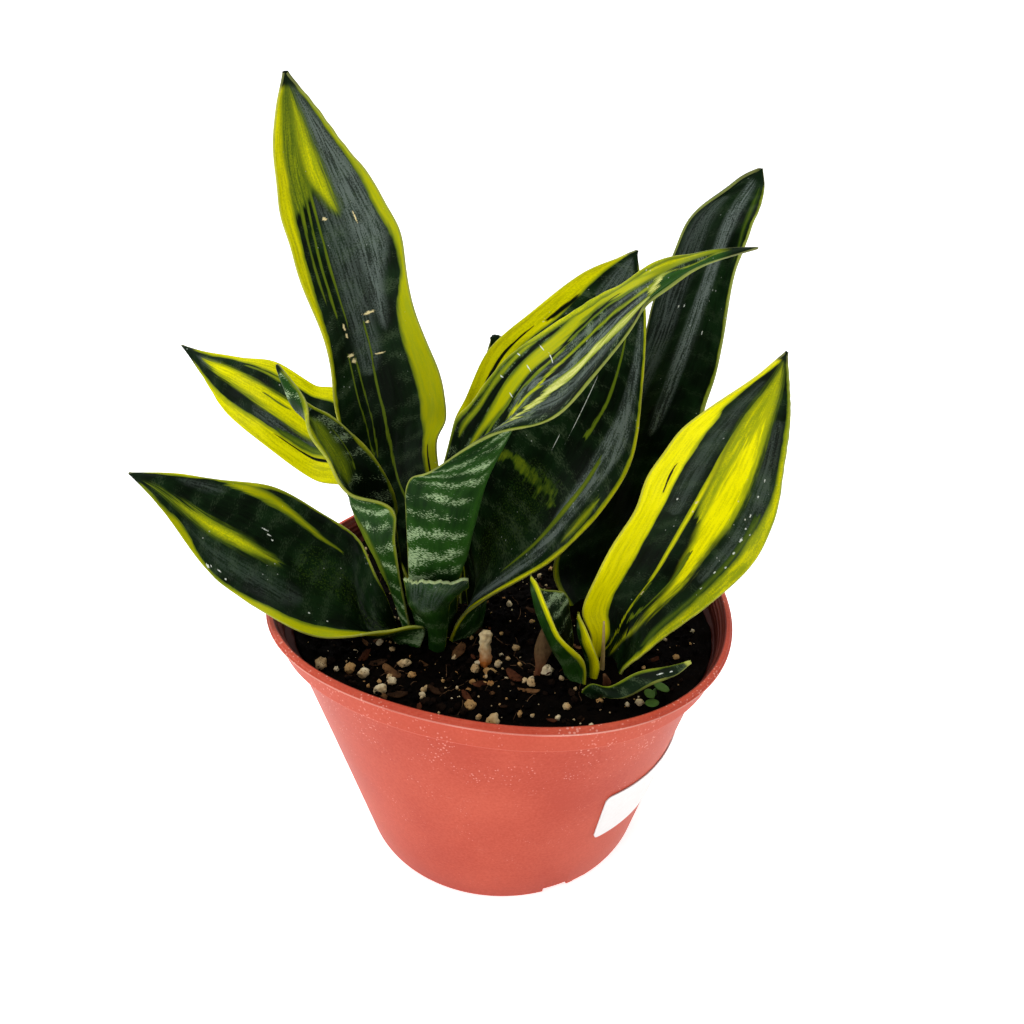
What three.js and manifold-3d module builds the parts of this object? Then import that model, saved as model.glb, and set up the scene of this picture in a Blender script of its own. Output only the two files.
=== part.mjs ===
// Potted snake plant: a variegated bird's-nest Sansevieria in a moulded nursery pot.
// Millimetres, +Z up. In the tables below x = y = 0 is the pot's axis and z = 0 the surface
// that it stands on; the finished plant is then moved so that its footprint is centred.
// The viewer of the reference picture stands on the -Y side.

import * as THREE from 'three';
import { mergeVertices } from 'three/addons/utils/BufferGeometryUtils.js';
import Module from 'manifold-3d';

const wasm = await Module();
wasm.setup();

// ---------------------------------------------------------------- driving sizes

const CLEARANCE = 0.3; // between pieces that rest in or on each other

const POT = {
  height: 96.6,
  footRadius: 51.6,
  shoulderRadius: 69.9, // where the wall meets the collar
  shoulderHeight: 85.8,
  ledgeRise: 0.5, // slope of the ledge under the collar
  collarRadius: 72.8,
  collarTopRadius: 73.2,
  lipRadius: 76,
  lipInnerRadius: 73.7,
  lipThickness: 1.6,
  lipRound: 0.4,
  throatSlope: 0.8, // the bevel inside, below the lip
  wall: 1.3,
  floorTop: 4.6,
  floorUnderside: 3,
  footWidth: 4.5,
  footSlope: 1,
  stepFoot: 85.4, // where the slanted step inside starts, between wall and collar
  stepRise: 2.6,
  segments: 72,
};

// The thin rim of a full nursery pot is never quite round or level.
const RIM = {
  ovalShare: 0.0144,
  ovalAngle: -33.7,
  lobeShare: 0.028,
  lobeAngle: -49.6,
  waveHeight: 2.66,
  waveAngle: 68.5,
};

// Pairs of drain notches in the foot: [start angle, width, height] of each notch.
const NOTCH_PAIR = [
  { angle: -70, width: 9, height: 2.8 },
  { angle: -60, width: 4, height: 1.1 },
];
const NOTCH_PAIRS = 3;
const DRAIN = { count: 6, radius: 4, ring: 36, sides: 16 };

const LABEL = {
  left: -60, // angle of its left end
  width: 50,
  bottom: 28,
  height: 24.5,
  corner: 2.2,
  thickness: 0.4,
  columns: 14,
};
const FACET_ROOM = 0.2; // extra room between round pieces, for the flats of their sides

const SOIL = { level: 85, lump: 0.5, rings: 10, segments: 48 };
const GRAIN = {
  count: 66,
  smallest: 1.1,
  largest: 2.4,
  form: [1, 0.8, 0.75],
  tilt: 0.4,
  proud: 0.25, // share of its size by which a grain's middle is above the soil
  seed: 11,
};

// Short stems that the leaf bases stand on, each in a plain hole in the soil.
const CROWNS = [
  { name: 'crown_main', x: -20.5, y: -9.5, radius: 16.5 },
  { name: 'crown_pup', x: 28.5, y: -36.5, radius: 10.6 },
  { name: 'crown_back', x: 30, y: 0.5, radius: 7.5 },
];
const CROWN_TOP = 81.9;
const CROWN_HEIGHT = 7;
const CROWN_BEVEL = { width: 2, rise: 3 };
const CROWN_SIDES = 24;
const HOLE_FLARE = 5; // how much wider than its crown each hole is at the soil's surface
const HOLE_RIM = 1; // height of the widest part of the hole above the soil's level

// ---------------------------------------------------------------- leaves

const BLADE_TAPER = 0.45; // share of its thickness that a blade loses from base to tip
const BLADE_COLUMNS = 8;

// Each blade is lofted through stations from its base to its tip. A station holds three
// points: one margin, the midrib and the other margin, as [x, y, z].
const LEAVES = [
  {
    name: 'leaf_tall',
    thick: 2.4,
    edge: 1.0,
    stations: [
      [[-28, -4, 80.5], [-22, -1, 80.5], [-16, -4, 80.5]],
      [[-34, -5, 106], [-25, 0.5, 106], [-14, -5, 106]],
      [[-47.5, -7, 133], [-34.5, 1, 133], [-20, -7, 143.5]],
      [[-49, -6, 157.5], [-34.5, 1.5, 159.5], [-16.5, -6, 163]],
      [[-51, -4, 180], [-39.5, 4, 182.5], [-24.5, -3, 188.5]],
      [[-58, 0, 203], [-45, 7, 205.5], [-28.5, 1, 211]],
      [[-61, 4, 222.5], [-51, 10, 224], [-38, 5, 226.5]],
      [[-59.5, 8, 239], [-54.5, 11, 239.5], [-48.5, 8, 239]],
      [[-57, 10, 248], [-56.5, 10.5, 248.5], [-56, 10, 248]],
    ],
  },
  {
    name: 'leaf_left_back',
    thick: 2.2,
    edge: 1.0,
    stations: [
      [[-30, 1, 80.5], [-32, -3, 80.5], [-33, -7, 80.5]],
      [[-31.8, 9, 102.3], [-37, 4.5, 102.2], [-39.5, -1.5, 102]],
      [[-48.2, 14, 153.3], [-48.8, 7, 142.8], [-46.3, -3, 130.2]],
      [[-60.1, 16, 159.8], [-61.7, 10, 150], [-60.2, 1, 133.4]],
      [[-71.6, 18, 166.6], [-74.2, 13, 157.4], [-75.7, 5, 144.2]],
      [[-83.5, 21, 167], [-86, 18, 162], [-88.5, 12, 152.5]],
      [[-96.5, 28, 166.5], [-96.5, 26, 163.5], [-97, 23, 159.5]],
      [[-105.5, 32, 167.5], [-105.5, 32, 167.5], [-105.5, 32, 167]],
    ],
  },
  {
    name: 'leaf_left_low',
    thick: 2.2,
    edge: 1.0,
    stations: [
      [[-34, -11.5, 80.5], [-33, -17, 80.5], [-28, -22.5, 80.5]],
      [[-38.5, -13, 101], [-37.5, -19.5, 89], [-24.5, -26.5, 96]],
      [[-43, -8, 109], [-45, -17, 90], [-37, -29, 95.5]],
      [[-48.5, -2, 115], [-51, -12, 98.5], [-49.5, -31, 95.5]],
      [[-58.5, 0, 122], [-64.5, -12, 107.5], [-62, -32, 98.5]],
      [[-72.5, -1, 132], [-77.5, -12, 117], [-78, -26, 105]],
      [[-87, -5, 136.5], [-90.5, -11, 125.5], [-91.5, -19, 112.5]],
      [[-100.5, -8, 140.5], [-102.5, -11, 137], [-103.5, -14, 131.5]],
      [[-112.5, -10, 141.5], [-112.5, -10, 141.5], [-112.5, -10, 141]],
    ],
  },
  {
    name: 'leaf_cupped',
    thick: 1.9,
    edge: 0.9,
    stations: [
      [[-27, -20, 80.5], [-31, -14, 80.5], [-29, -8.5, 80.5]],
      [[-30.5, -23, 102], [-34.5, -17, 102], [-32, -9.5, 102]],
      [[-31, -28.5, 127.5], [-39, -22, 121.5], [-33, -12, 122.5]],
      [[-31, -30, 139.5], [-43, -22, 133.5], [-32, -12, 130.5]],
      [[-42, -31, 145.5], [-44.5, -20, 144], [-34.5, -11.5, 140]],
      [[-47.5, -30, 154], [-47, -17, 150.5], [-39.5, -12, 150]],
      [[-52, -27, 162], [-52.5, -16, 159.5], [-47.5, -13, 160]],
      [[-54.5, -20, 169], [-58.5, -17, 166], [-56, -13, 166]],
      [[-63, -11, 176.5], [-63.5, -11, 176], [-63, -11, 176]],
    ],
  },
  {
    name: 'leaf_arching',
    thick: 2.2,
    edge: 1.0,
    stations: [
      [[-27, -17.5, 80.5], [-21, -19, 80.5], [-18, -13, 80.5]],
      [[-29, -20.5, 100], [-20.5, -22.8, 100], [-15, -12, 100]],
      [[-28.5, -25.5, 115], [-13.5, -24.5, 115], [-20, -8.5, 117]],
      [[-27.5, -29.5, 138.5], [-9.5, -27, 131], [-19.5, -8.5, 134.5]],
      [[-25.5, -33, 150.5], [-6, -27, 145], [-15, -8, 154.5]],
      [[-17, -34, 155], [0.5, -25, 159], [-8, -8, 165]],
      [[-4, -34, 164.5], [8, -22, 171.5], [2.5, -8, 177.5]],
      [[15, -32, 169.5], [20, -19, 179.5], [15, -7, 187]],
      [[32, -24, 188], [32, -17, 192.5], [29.5, -8, 196]],
      [[40.5, -17.5, 197], [43, -14, 200], [41.5, -9, 204]],
      [[53, -13.5, 203.7], [54.5, -12, 205.2], [53.5, -10, 207]],
      [[68, -10.3, 207.8], [68, -10, 208], [68, -9.7, 208.2]],
    ],
  },
  {
    name: 'leaf_broad',
    thick: 2.4,
    edge: 1.0,
    stations: [
      [[-11, -4, 80.5], [-9, -12, 80.5], [-17, -21, 80.5]],
      [[-14, 4, 102], [-6.5, -9.5, 93], [-16.8, -20.8, 87.5]],
      [[-19.5, 12, 124], [-7.5, -3, 105.5], [-11.5, -18.5, 95.5]],
      [[-16.5, 15, 144.5], [4, 3, 125], [13.5, -14, 110.5]],
      [[-11.5, 17, 155.5], [13.5, 8, 144], [28.5, -9, 123.5]],
      [[-4, 19, 170.5], [21.5, 13, 160.5], [40, -2, 140]],
      [[10, 21, 182.5], [30, 18, 175.5], [43.5, 7, 161.5]],
      [[24.5, 23, 193], [35, 22, 187.5], [44.5, 17, 180.5]],
      [[35.5, 25, 197.5], [39, 25, 195], [43, 23, 190.5]],
      [[41.5, 26, 199.5], [41.5, 26, 199.5], [41.5, 26, 199]],
    ],
  },
  {
    name: 'leaf_stub_front',
    thick: 1.6,
    edge: 0.9,
    stations: [
      [[-23, -23.5, 80.5], [-21.5, -24, 80.5], [-19.5, -24, 80.5]],
      [[-24.5, -24.3, 96], [-21, -27.3, 96.5], [-17, -26, 96.5]],
      [[-28.5, -26.5, 105], [-22, -30, 107], [-15, -26.5, 107]],
      [[-29.5, -30, 118.5], [-18.5, -33, 118.5], [-5, -25, 114.5]],
    ],
  },
  {
    name: 'leaf_young_back',
    thick: 1.8,
    edge: 0.9,
    stations: [
      [[-15, 0.5, 80.5], [-12.5, 1.5, 80.5], [-10, 0.5, 80.5]],
      [[-14, 11, 110], [-8, 13, 110], [-3, 11, 110]],
      [[-11, 19, 140], [-6, 21, 140], [-2, 19, 140]],
      [[-5, 24, 167.5], [-2.5, 25, 168.5], [-0.5, 24, 170]],
      [[-3, 27, 172], [-2.5, 27, 172.5], [-1.5, 27, 172]],
    ],
  },
  {
    name: 'leaf_back_plant',
    thick: 2.4,
    edge: 1.0,
    stations: [
      [[25, -1, 80.5], [30, 4, 80.5], [35, -1, 80.5]],
      [[17.5, 3, 98.5], [33, 11, 96.8], [46.5, 4, 101]],
      [[26.1, 10, 120.7], [41.7, 16, 125.4], [55, 6, 131]],
      [[35.3, 14, 148.4], [50.3, 21, 152.4], [64, 10, 152.3]],
      [[43.5, 19, 170], [58.4, 26, 174.3], [68.3, 15, 173]],
      [[48.1, 24, 185.4], [63.4, 31, 192], [71.5, 21, 196.3]],
      [[55.5, 24, 207], [67, 31, 209], [76.5, 26, 208]],
      [[69, 30, 218], [74, 33, 218], [79.5, 31, 216]],
      [[78.5, 34, 222], [78.5, 34, 222], [79, 34, 222]],
    ],
  },
  {
    name: 'pup_leaf_large',
    thick: 2.2,
    edge: 1.0,
    stations: [
      [[25.5, -29.5, 80.5], [31, -29, 80.5], [35, -35, 80.5]],
      [[27.5, -31.5, 95], [37, -27, 90], [38.5, -37, 88.5]],
      [[24, -30.5, 105], [40, -23, 100.5], [48, -33, 95]],
      [[29, -29, 118], [49.5, -17, 111.5], [64, -28, 105.5]],
      [[38.5, -24, 136], [59.5, -12, 128.5], [78, -22, 119]],
      [[46, -18, 151], [67, -8, 143], [83.5, -16, 135]],
      [[58.5, -12, 162], [73.5, -6, 157.5], [84, -12, 156]],
      [[74, -6, 171], [79.5, -4, 168.5], [84, -7, 167.5]],
      [[82, -4, 177], [82.5, -4, 177.5], [82.5, -4, 177]],
    ],
  },
  {
    name: 'pup_leaf_folded',
    thick: 1.6,
    edge: 0.9,
    stations: [
      [[25.5, -40.5, 80.5], [21, -37, 80.5], [21.5, -31.5, 80.5]],
      [[24, -42, 95], [19, -37, 88], [21.5, -29.5, 90]],
      [[16.5, -42, 104.5], [15, -38, 97.5], [21, -28.5, 102]],
      [[12.5, -40, 114], [11, -38, 108.5], [18.5, -30, 111]],
      [[10, -37, 119.5], [9, -37, 115], [11, -34, 115.5]],
      [[8, -35, 121], [8, -35, 121], [8, -35, 121]],
    ],
  },
  {
    name: 'pup_leaf_low',
    thick: 1.3,
    edge: 0.9,
    columns: 4,
    stations: [
      [[22.5, -43, 80.5], [25, -45, 80.5], [29.5, -44.5, 80.5]],
      [[26, -45, 88.5], [27.5, -47.5, 88], [30, -49, 87.5]],
      [[31.5, -48, 90.5], [33, -51, 90], [34.5, -53, 90]],
      [[39.5, -48.3, 95.7], [41, -51.5, 95], [43, -53, 95.6]],
      [[47.5, -48, 97.5], [48.5, -50, 97], [49.5, -51, 96.5]],
      [[54.5, -47, 99], [54.5, -47.5, 99], [55, -48, 99]],
    ],
  },
  {
    name: 'pup_leaf_inner',
    thick: 1.3,
    edge: 0.9,
    columns: 4,
    stations: [
      [[28.5, -37.5, 80.5], [26, -36.5, 80.5], [26.5, -34, 80.5]],
      [[29.5, -38.5, 90.5], [26, -36.5, 90.5], [26.5, -34, 89.8]],
      [[27, -38, 97.5], [23.5, -35, 98], [24, -33.5, 98.5]],
      [[22.5, -34.5, 106.5], [22.5, -34, 106.5], [22.5, -33.5, 106.5]],
    ],
  },
];

// ---------------------------------------------------------------- small things on the soil

// Plain round holes in the soil: where each thing stands, and how wide its hole is.
const PEG = {
  foot: [-5.3, -31.5, 81],
  top: [-5.6, -27, 95],
  radius: 2.1,
  topRadius: 1.8,
  sides: 10,
};
const DRY_LEAF_HOLE = { foot: [9.7, -39.2, 81], top: [10.6, -37.2, 87], radius: 1.7 };
const DRY_LEAF = {
  name: 'dry_leaf',
  thick: 0.9,
  edge: 0.8,
  columns: 4,
  stations: [
    [[9, -39, 82], [9.6, -39, 82], [10.4, -39, 82]],
    [[10, -36, 87], [11, -36.5, 87.5], [12, -36, 87]],
    [[9.5, -32, 91], [12.5, -33, 92], [15.5, -32, 91.5]],
    [[12, -29, 96], [14, -30, 97], [17, -29, 96]],
    [[15, -26.5, 98.5], [15.5, -26.8, 98.6], [16, -26.5, 98.5]],
  ],
};
const BRACT = { foot: [32, -39.5, 81], top: [30.5, -42, 89.5], radius: 1.6, tipRadius: 0.6 };
const SPIKE = { foot: [31, -33, 81], top: [30.5, -33.6, 103], radius: 0.9, tipRadius: 0.35 };
const SEEDLING = {
  foot: [45.4, -45.6, 82],
  top: [45.2, -46.8, 88],
  stemRadius: 0.6,
  leafHalfThickness: 0.4,
  leaves: [
    { at: [46.8, -47.3, 89.2], length: 5.6, width: 3.2, turn: -50 },
    { at: [43, -49.8, 88.8], length: 4.2, width: 3.2, turn: 100 },
    { at: [43.3, -52.9, 88], length: 4.2, width: 3.4, turn: 15 },
  ],
};

// ---------------------------------------------------------------- materials

const material = (color, roughness) =>
  new THREE.MeshStandardMaterial({ color, roughness, metalness: 0 });

const TERRACOTTA_PLASTIC = material(0xcd6450, 0.45);
const WHITE_PAPER = material(0xf6f6f4, 0.7);
const POTTING_MIX = material(0x17110d, 0.95);
const LEAF_DARK = material(0x1d3a1c, 0.35);
const LEAF_STRIPED = material(0x9aa51c, 0.4);
const STEM_FLESH = material(0x8a9455, 0.6);
const BARK = material(0xd8b98a, 0.8);
const DRY_BROWN = material(0x5a3a26, 0.85);
const WEED_GREEN = material(0x4f7a34, 0.5);

// ---------------------------------------------------------------- helpers

const radians = THREE.MathUtils.degToRad;
const vector = ([x, y, z]) => new THREE.Vector3(x, y, z);

function indexed(positions, triangles) {
  const geometry = new THREE.BufferGeometry();
  geometry.setAttribute('position', new THREE.Float32BufferAttribute(positions.flat(), 3));
  geometry.setIndex(triangles.flat());
  return geometry;
}

function toSolid(geometry) {
  const bare = geometry.clone();
  bare.deleteAttribute('normal');
  bare.deleteAttribute('uv');
  const welded = mergeVertices(bare, 1e-4);
  return new wasm.Manifold(new wasm.Mesh({
    numProp: 3,
    vertProperties: new Float32Array(welded.attributes.position.array),
    triVerts: new Uint32Array(welded.index.array),
  }));
}

function toGeometry(solid) {
  const mesh = solid.getMesh();
  const geometry = new THREE.BufferGeometry();
  geometry.setAttribute('position', new THREE.BufferAttribute(mesh.vertProperties, 3));
  geometry.setIndex(new THREE.BufferAttribute(mesh.triVerts, 1));
  return geometry;
}

function meshOf(name, geometry, look) {
  geometry.computeVertexNormals();
  const mesh = new THREE.Mesh(geometry, look);
  mesh.name = name;
  return mesh;
}

// A repeatable stream of numbers from 0 to 1.
function stream(seed) {
  let state = seed;
  return () => {
    state = (state * 16807) % 2147483647;
    return state / 2147483647;
  };
}

// Moves a point of the round pot to its place in the slightly bent one.
function bend(x, y, z) {
  const share = z / POT.height;
  const angle = Math.atan2(y, x);
  const stretch = 1
    + RIM.ovalShare * share * Math.cos(2 * (angle - radians(RIM.ovalAngle)))
    + RIM.lobeShare * share * Math.cos(3 * (angle - radians(RIM.lobeAngle)));
  const lift = RIM.waveHeight * share * Math.cos(2 * (angle - radians(RIM.waveAngle)));
  return [x * stretch, y * stretch, z + lift];
}

function bendGeometry(geometry) {
  const places = geometry.attributes.position;
  for (let i = 0; i < places.count; i += 1) {
    places.setXYZ(i, ...bend(places.getX(i), places.getY(i), places.getZ(i)));
  }
  return geometry;
}

// A solid of revolution about Z from [radius, height] pairs that run up the outside.
function turned(profile, segments) {
  const points = profile.map(([radius, height]) => new THREE.Vector2(radius, height));
  return new THREE.LatheGeometry(points, segments).rotateX(Math.PI / 2);
}

// A round bar or cone between two points.
function bar(foot, top, footRadius, topRadius, sides = 8) {
  const from = vector(foot);
  const to = vector(top);
  const run = to.clone().sub(from);
  const geometry = new THREE.CylinderGeometry(topRadius, footRadius, run.length(), sides);
  const turn = new THREE.Quaternion();
  turn.setFromUnitVectors(new THREE.Vector3(0, 1, 0), run.clone().normalize());
  geometry.applyQuaternion(turn);
  const middle = from.add(to).multiplyScalar(0.5);
  return geometry.translate(middle.x, middle.y, middle.z);
}

// ---------------------------------------------------------------- pot

function wallRadius(height) {
  const rise = height / POT.shoulderHeight;
  return POT.footRadius + (POT.shoulderRadius - POT.footRadius) * rise;
}

// The inside of the round pot, before it is bent: wall, step and collar.
function insideRadius(height) {
  if (height < POT.stepFoot) {
    return wallRadius(height) - POT.wall;
  }
  const share = Math.min((height - POT.stepFoot) / POT.stepRise, 1);
  const narrow = wallRadius(POT.stepFoot);
  return narrow + (POT.collarRadius - narrow) * share - POT.wall;
}

function potGeometry() {
  const lipUnder = POT.height - POT.lipThickness;
  const stepTop = POT.stepFoot + POT.stepRise;
  const profile = [
    [0.0, POT.floorUnderside],
    [POT.footRadius - POT.footWidth - POT.footSlope, POT.floorUnderside],
    [POT.footRadius - POT.footWidth, 0],
    [POT.footRadius, 0],
    [POT.shoulderRadius, POT.shoulderHeight],
    [POT.collarRadius, POT.shoulderHeight + POT.ledgeRise],
    [POT.collarTopRadius, lipUnder],
    [POT.lipRadius - POT.lipRound, lipUnder],
    [POT.lipRadius, lipUnder + POT.lipRound],
    [POT.lipRadius - POT.lipRound, POT.height],
    [POT.lipInnerRadius, POT.height],
    [POT.lipInnerRadius - POT.throatSlope, lipUnder - POT.throatSlope],
    [insideRadius(stepTop), stepTop],
    [insideRadius(POT.stepFoot), POT.stepFoot],
    [insideRadius(POT.floorTop), POT.floorTop],
    [0.0, POT.floorTop],
  ];
  return bendGeometry(turned(profile, POT.segments));
}

function notchCutter({ angle, width, height }) {
  const cutter = new THREE.BoxGeometry(2 * POT.footWidth, width, 2 * height);
  cutter.translate(POT.footRadius - POT.footWidth / 2, 0, 0);
  return cutter.rotateZ(radians(angle));
}

function drainCutter(index) {
  const { radius, sides } = DRAIN;
  const cutter = new THREE.CylinderGeometry(radius, radius, 2 * POT.floorTop, sides);
  cutter.rotateX(Math.PI / 2);
  cutter.translate(DRAIN.ring, 0, POT.floorTop);
  return cutter.rotateZ((index * 2 * Math.PI) / DRAIN.count);
}

function buildPot() {
  let solid = toSolid(potGeometry());
  for (let pair = 0; pair < NOTCH_PAIRS; pair += 1) {
    for (const notch of NOTCH_PAIR) {
      const turn = (pair * 2 * Math.PI) / NOTCH_PAIRS;
      solid = solid.subtract(toSolid(notchCutter(notch).rotateZ(turn)));
    }
  }
  for (let index = 0; index < DRAIN.count; index += 1) {
    solid = solid.subtract(toSolid(drainCutter(index)));
  }
  return meshOf('pot', toGeometry(solid), TERRACOTTA_PLASTIC);
}

// ---------------------------------------------------------------- label

// How far a rounded corner cuts into the label's height, this far from its end.
function cornerInset(toEnd) {
  const short = Math.max(LABEL.corner - toEnd, 0);
  return LABEL.corner - Math.sqrt(LABEL.corner ** 2 - short ** 2);
}

// A thin patch on the wall: a grid of columns round the pot, closed on every side.
function buildLabel() {
  const { columns } = LABEL;
  const arc = LABEL.width / wallRadius(LABEL.bottom + LABEL.height / 2);
  const rows = [];
  for (let i = 0; i <= columns; i += 1) {
    const along = (i / columns) * LABEL.width;
    const inset = cornerInset(Math.min(along, LABEL.width - along));
    const angle = radians(LABEL.left) + (i / columns) * arc;
    rows.push({ angle, low: LABEL.bottom + inset, high: LABEL.bottom + LABEL.height - inset });
  }
  const positions = [];
  for (const { angle, low, high } of rows) {
    const under = CLEARANCE + FACET_ROOM;
    const over = under + LABEL.thickness;
    for (const [height, offset] of [[low, under], [high, under], [high, over], [low, over]]) {
      const radius = wallRadius(height) + offset;
      positions.push(bend(radius * Math.cos(angle), radius * Math.sin(angle), height));
    }
  }
  const triangles = [[0, 3, 2], [0, 2, 1]];
  for (let i = 0; i < columns; i += 1) {
    for (let side = 0; side < 4; side += 1) {
      const a = 4 * i + side;
      const b = 4 * i + ((side + 1) % 4);
      triangles.push([a, b, b + 4], [a, b + 4, a + 4]);
    }
  }
  const last = 4 * columns;
  triangles.push([last, last + 1, last + 2], [last, last + 2, last + 3]);
  return meshOf('label', indexed(positions, triangles), WHITE_PAPER);
}

// ---------------------------------------------------------------- soil

function soilHeight(x, y) {
  const broad = Math.sin(x / 7.3 + 1) * Math.cos(y / 6.1);
  const fine = Math.sin(x / 3.1 + y / 4.3) * Math.sin(y / 3.7 - x / 5.9);
  return SOIL.level + SOIL.lump * (broad + fine);
}

// Height in the round pot of a point that lies at a given height in the bent one.
function unbentHeight(angle, height) {
  const lift = RIM.waveHeight * Math.cos(2 * (angle - radians(RIM.waveAngle)));
  return height / (1 + lift / POT.height);
}

// The soil fills the pot up to a lumpy surface, a clearance away from its inside.
function soilGeometry() {
  const { rings, segments, level } = SOIL;
  const floor = POT.floorTop + CLEARANCE;
  const least = 0.2; // least height between two points of its side
  const narrow = POT.stepFoot - least;
  const positions = [[0, 0, floor], [0, 0, soilHeight(0, 0)]];
  for (let column = 0; column < segments; column += 1) {
    const angle = (column / segments) * 2 * Math.PI;
    const [cos, sin] = [Math.cos(angle), Math.sin(angle)];
    const top = unbentHeight(angle, level);
    const stepFoot = Math.min(narrow, top - 2 * least);
    const stepTop = Math.min(narrow + POT.stepRise, top - least);
    const side = [floor, stepFoot, stepTop, top];
    for (const height of side) {
      const radius = insideRadius(height) - CLEARANCE - FACET_ROOM;
      positions.push(bend(radius * cos, radius * sin, height));
    }
    const [edgeX, edgeY] = positions.at(-1);
    for (let ring = rings - 1; ring > 0; ring -= 1) {
      const [x, y] = [(edgeX * ring) / rings, (edgeY * ring) / rings];
      positions.push([x, y, soilHeight(x, y)]);
    }
  }
  const rows = 3 + rings;
  const triangles = [];
  for (let column = 0; column < segments; column += 1) {
    const here = 2 + column * rows;
    const next = 2 + ((column + 1) % segments) * rows;
    triangles.push([0, next, here], [1, here + rows - 1, next + rows - 1]);
    for (let row = 0; row < rows - 1; row += 1) {
      triangles.push([here + row, next + row, next + row + 1]);
      triangles.push([here + row, next + row + 1, here + row + 1]);
    }
  }
  return indexed(positions, triangles);
}

// Perlite grains: few-sided lumps sunk well into the soil, fused to it.
function grain(x, y, size, turn) {
  const lump = new THREE.OctahedronGeometry(size, 0);
  lump.scale(...GRAIN.form).rotateZ(turn).rotateX(GRAIN.tilt);
  return lump.translate(x, y, soilHeight(x, y) + GRAIN.proud * size);
}

function clearOfCrowns(x, y, room) {
  return CROWNS.every((crown) => Math.hypot(x - crown.x, y - crown.y) > crown.radius + room);
}

function grains() {
  const draw = stream(GRAIN.seed);
  const reach = wallRadius(SOIL.level) - POT.wall - 2 * GRAIN.largest;
  const room = 2 * GRAIN.largest;
  const lumps = [];
  while (lumps.length < GRAIN.count) {
    const angle = draw() * 2 * Math.PI;
    const distance = Math.sqrt(draw()) * reach;
    const size = GRAIN.smallest + draw() ** 2 * (GRAIN.largest - GRAIN.smallest);
    const [x, y] = [distance * Math.cos(angle), distance * Math.sin(angle)];
    if (clearOfCrowns(x, y, room)) {
      lumps.push(toSolid(grain(x, y, size, angle * 3)));
    }
  }
  return wasm.Manifold.union(lumps);
}

// A plain round hole a clearance wider and deeper than what stands in it.
function holeFor({ foot, top, radius }) {
  const [x, y, z] = foot;
  const wide = radius + CLEARANCE + FACET_ROOM;
  return toSolid(bar([x, y, z - CLEARANCE], top, wide, wide));
}

function buildSoil() {
  let solid = toSolid(soilGeometry()).add(grains());
  for (const crown of CROWNS) {
    solid = solid.subtract(toSolid(crownHole(crown)));
  }
  const weedHole = { ...SEEDLING, radius: SEEDLING.stemRadius };
  for (const thing of [PEG, DRY_LEAF_HOLE, weedHole]) {
    solid = solid.subtract(holeFor(thing));
  }
  return meshOf('soil', toGeometry(solid), POTTING_MIX);
}

// ---------------------------------------------------------------- crowns

const crownFoot = CROWN_TOP - CROWN_HEIGHT;

function crownGeometry(crown) {
  const profile = [
    [0, crownFoot],
    [crown.radius - CROWN_BEVEL.width, crownFoot],
    [crown.radius, crownFoot + CROWN_BEVEL.rise],
    [crown.radius, CROWN_TOP],
    [0, CROWN_TOP],
  ];
  return turned(profile, CROWN_SIDES).translate(crown.x, crown.y, 0);
}

// The crown's own shape a clearance larger, then a funnel up through the surface.
function crownHole(crown) {
  const wide = crown.radius + CLEARANCE;
  const bottom = crownFoot - CLEARANCE;
  const open = SOIL.level + CROWN_HEIGHT;
  const profile = [
    [0, bottom],
    [wide - CROWN_BEVEL.width, bottom],
    [wide, bottom + CROWN_BEVEL.rise],
    [wide, CROWN_TOP],
    [wide + HOLE_FLARE, SOIL.level + HOLE_RIM],
    [wide + HOLE_FLARE, open],
    [0, open],
  ];
  return turned(profile, CROWN_SIDES).translate(crown.x, crown.y, 0);
}

function buildCrown(crown) {
  return meshOf(crown.name, crownGeometry(crown), STEM_FLESH);
}

// ---------------------------------------------------------------- blades

// A smooth sheet through the stations: a parabola across, from margin to margin.
function sheet(stations) {
  const lines = [0, 1, 2].map((k) => new THREE.CatmullRomCurve3(
    stations.map((station) => vector(station[k])), false, 'catmullrom', 0.5,
  ));
  return (s, t) => {
    const [left, rib, right] = lines.map((line) => line.getPoint(Math.min(Math.max(s, 0), 1)));
    const slope = right.clone().sub(left).multiplyScalar(0.5 * t);
    const bow = right.add(left).multiplyScalar(0.5).sub(rib).multiplyScalar(t * t);
    return rib.add(slope).add(bow);
  };
}

function sheetNormal(surface, s, t) {
  const step = 0.02;
  const low = Math.max(s - step, 0);
  const high = Math.min(s + step, 1);
  const along = surface(high, t).sub(surface(low, t));
  const across = surface(s, Math.min(t + step, 1)).sub(surface(s, Math.max(t - step, -1)));
  return along.cross(across).normalize();
}

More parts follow.
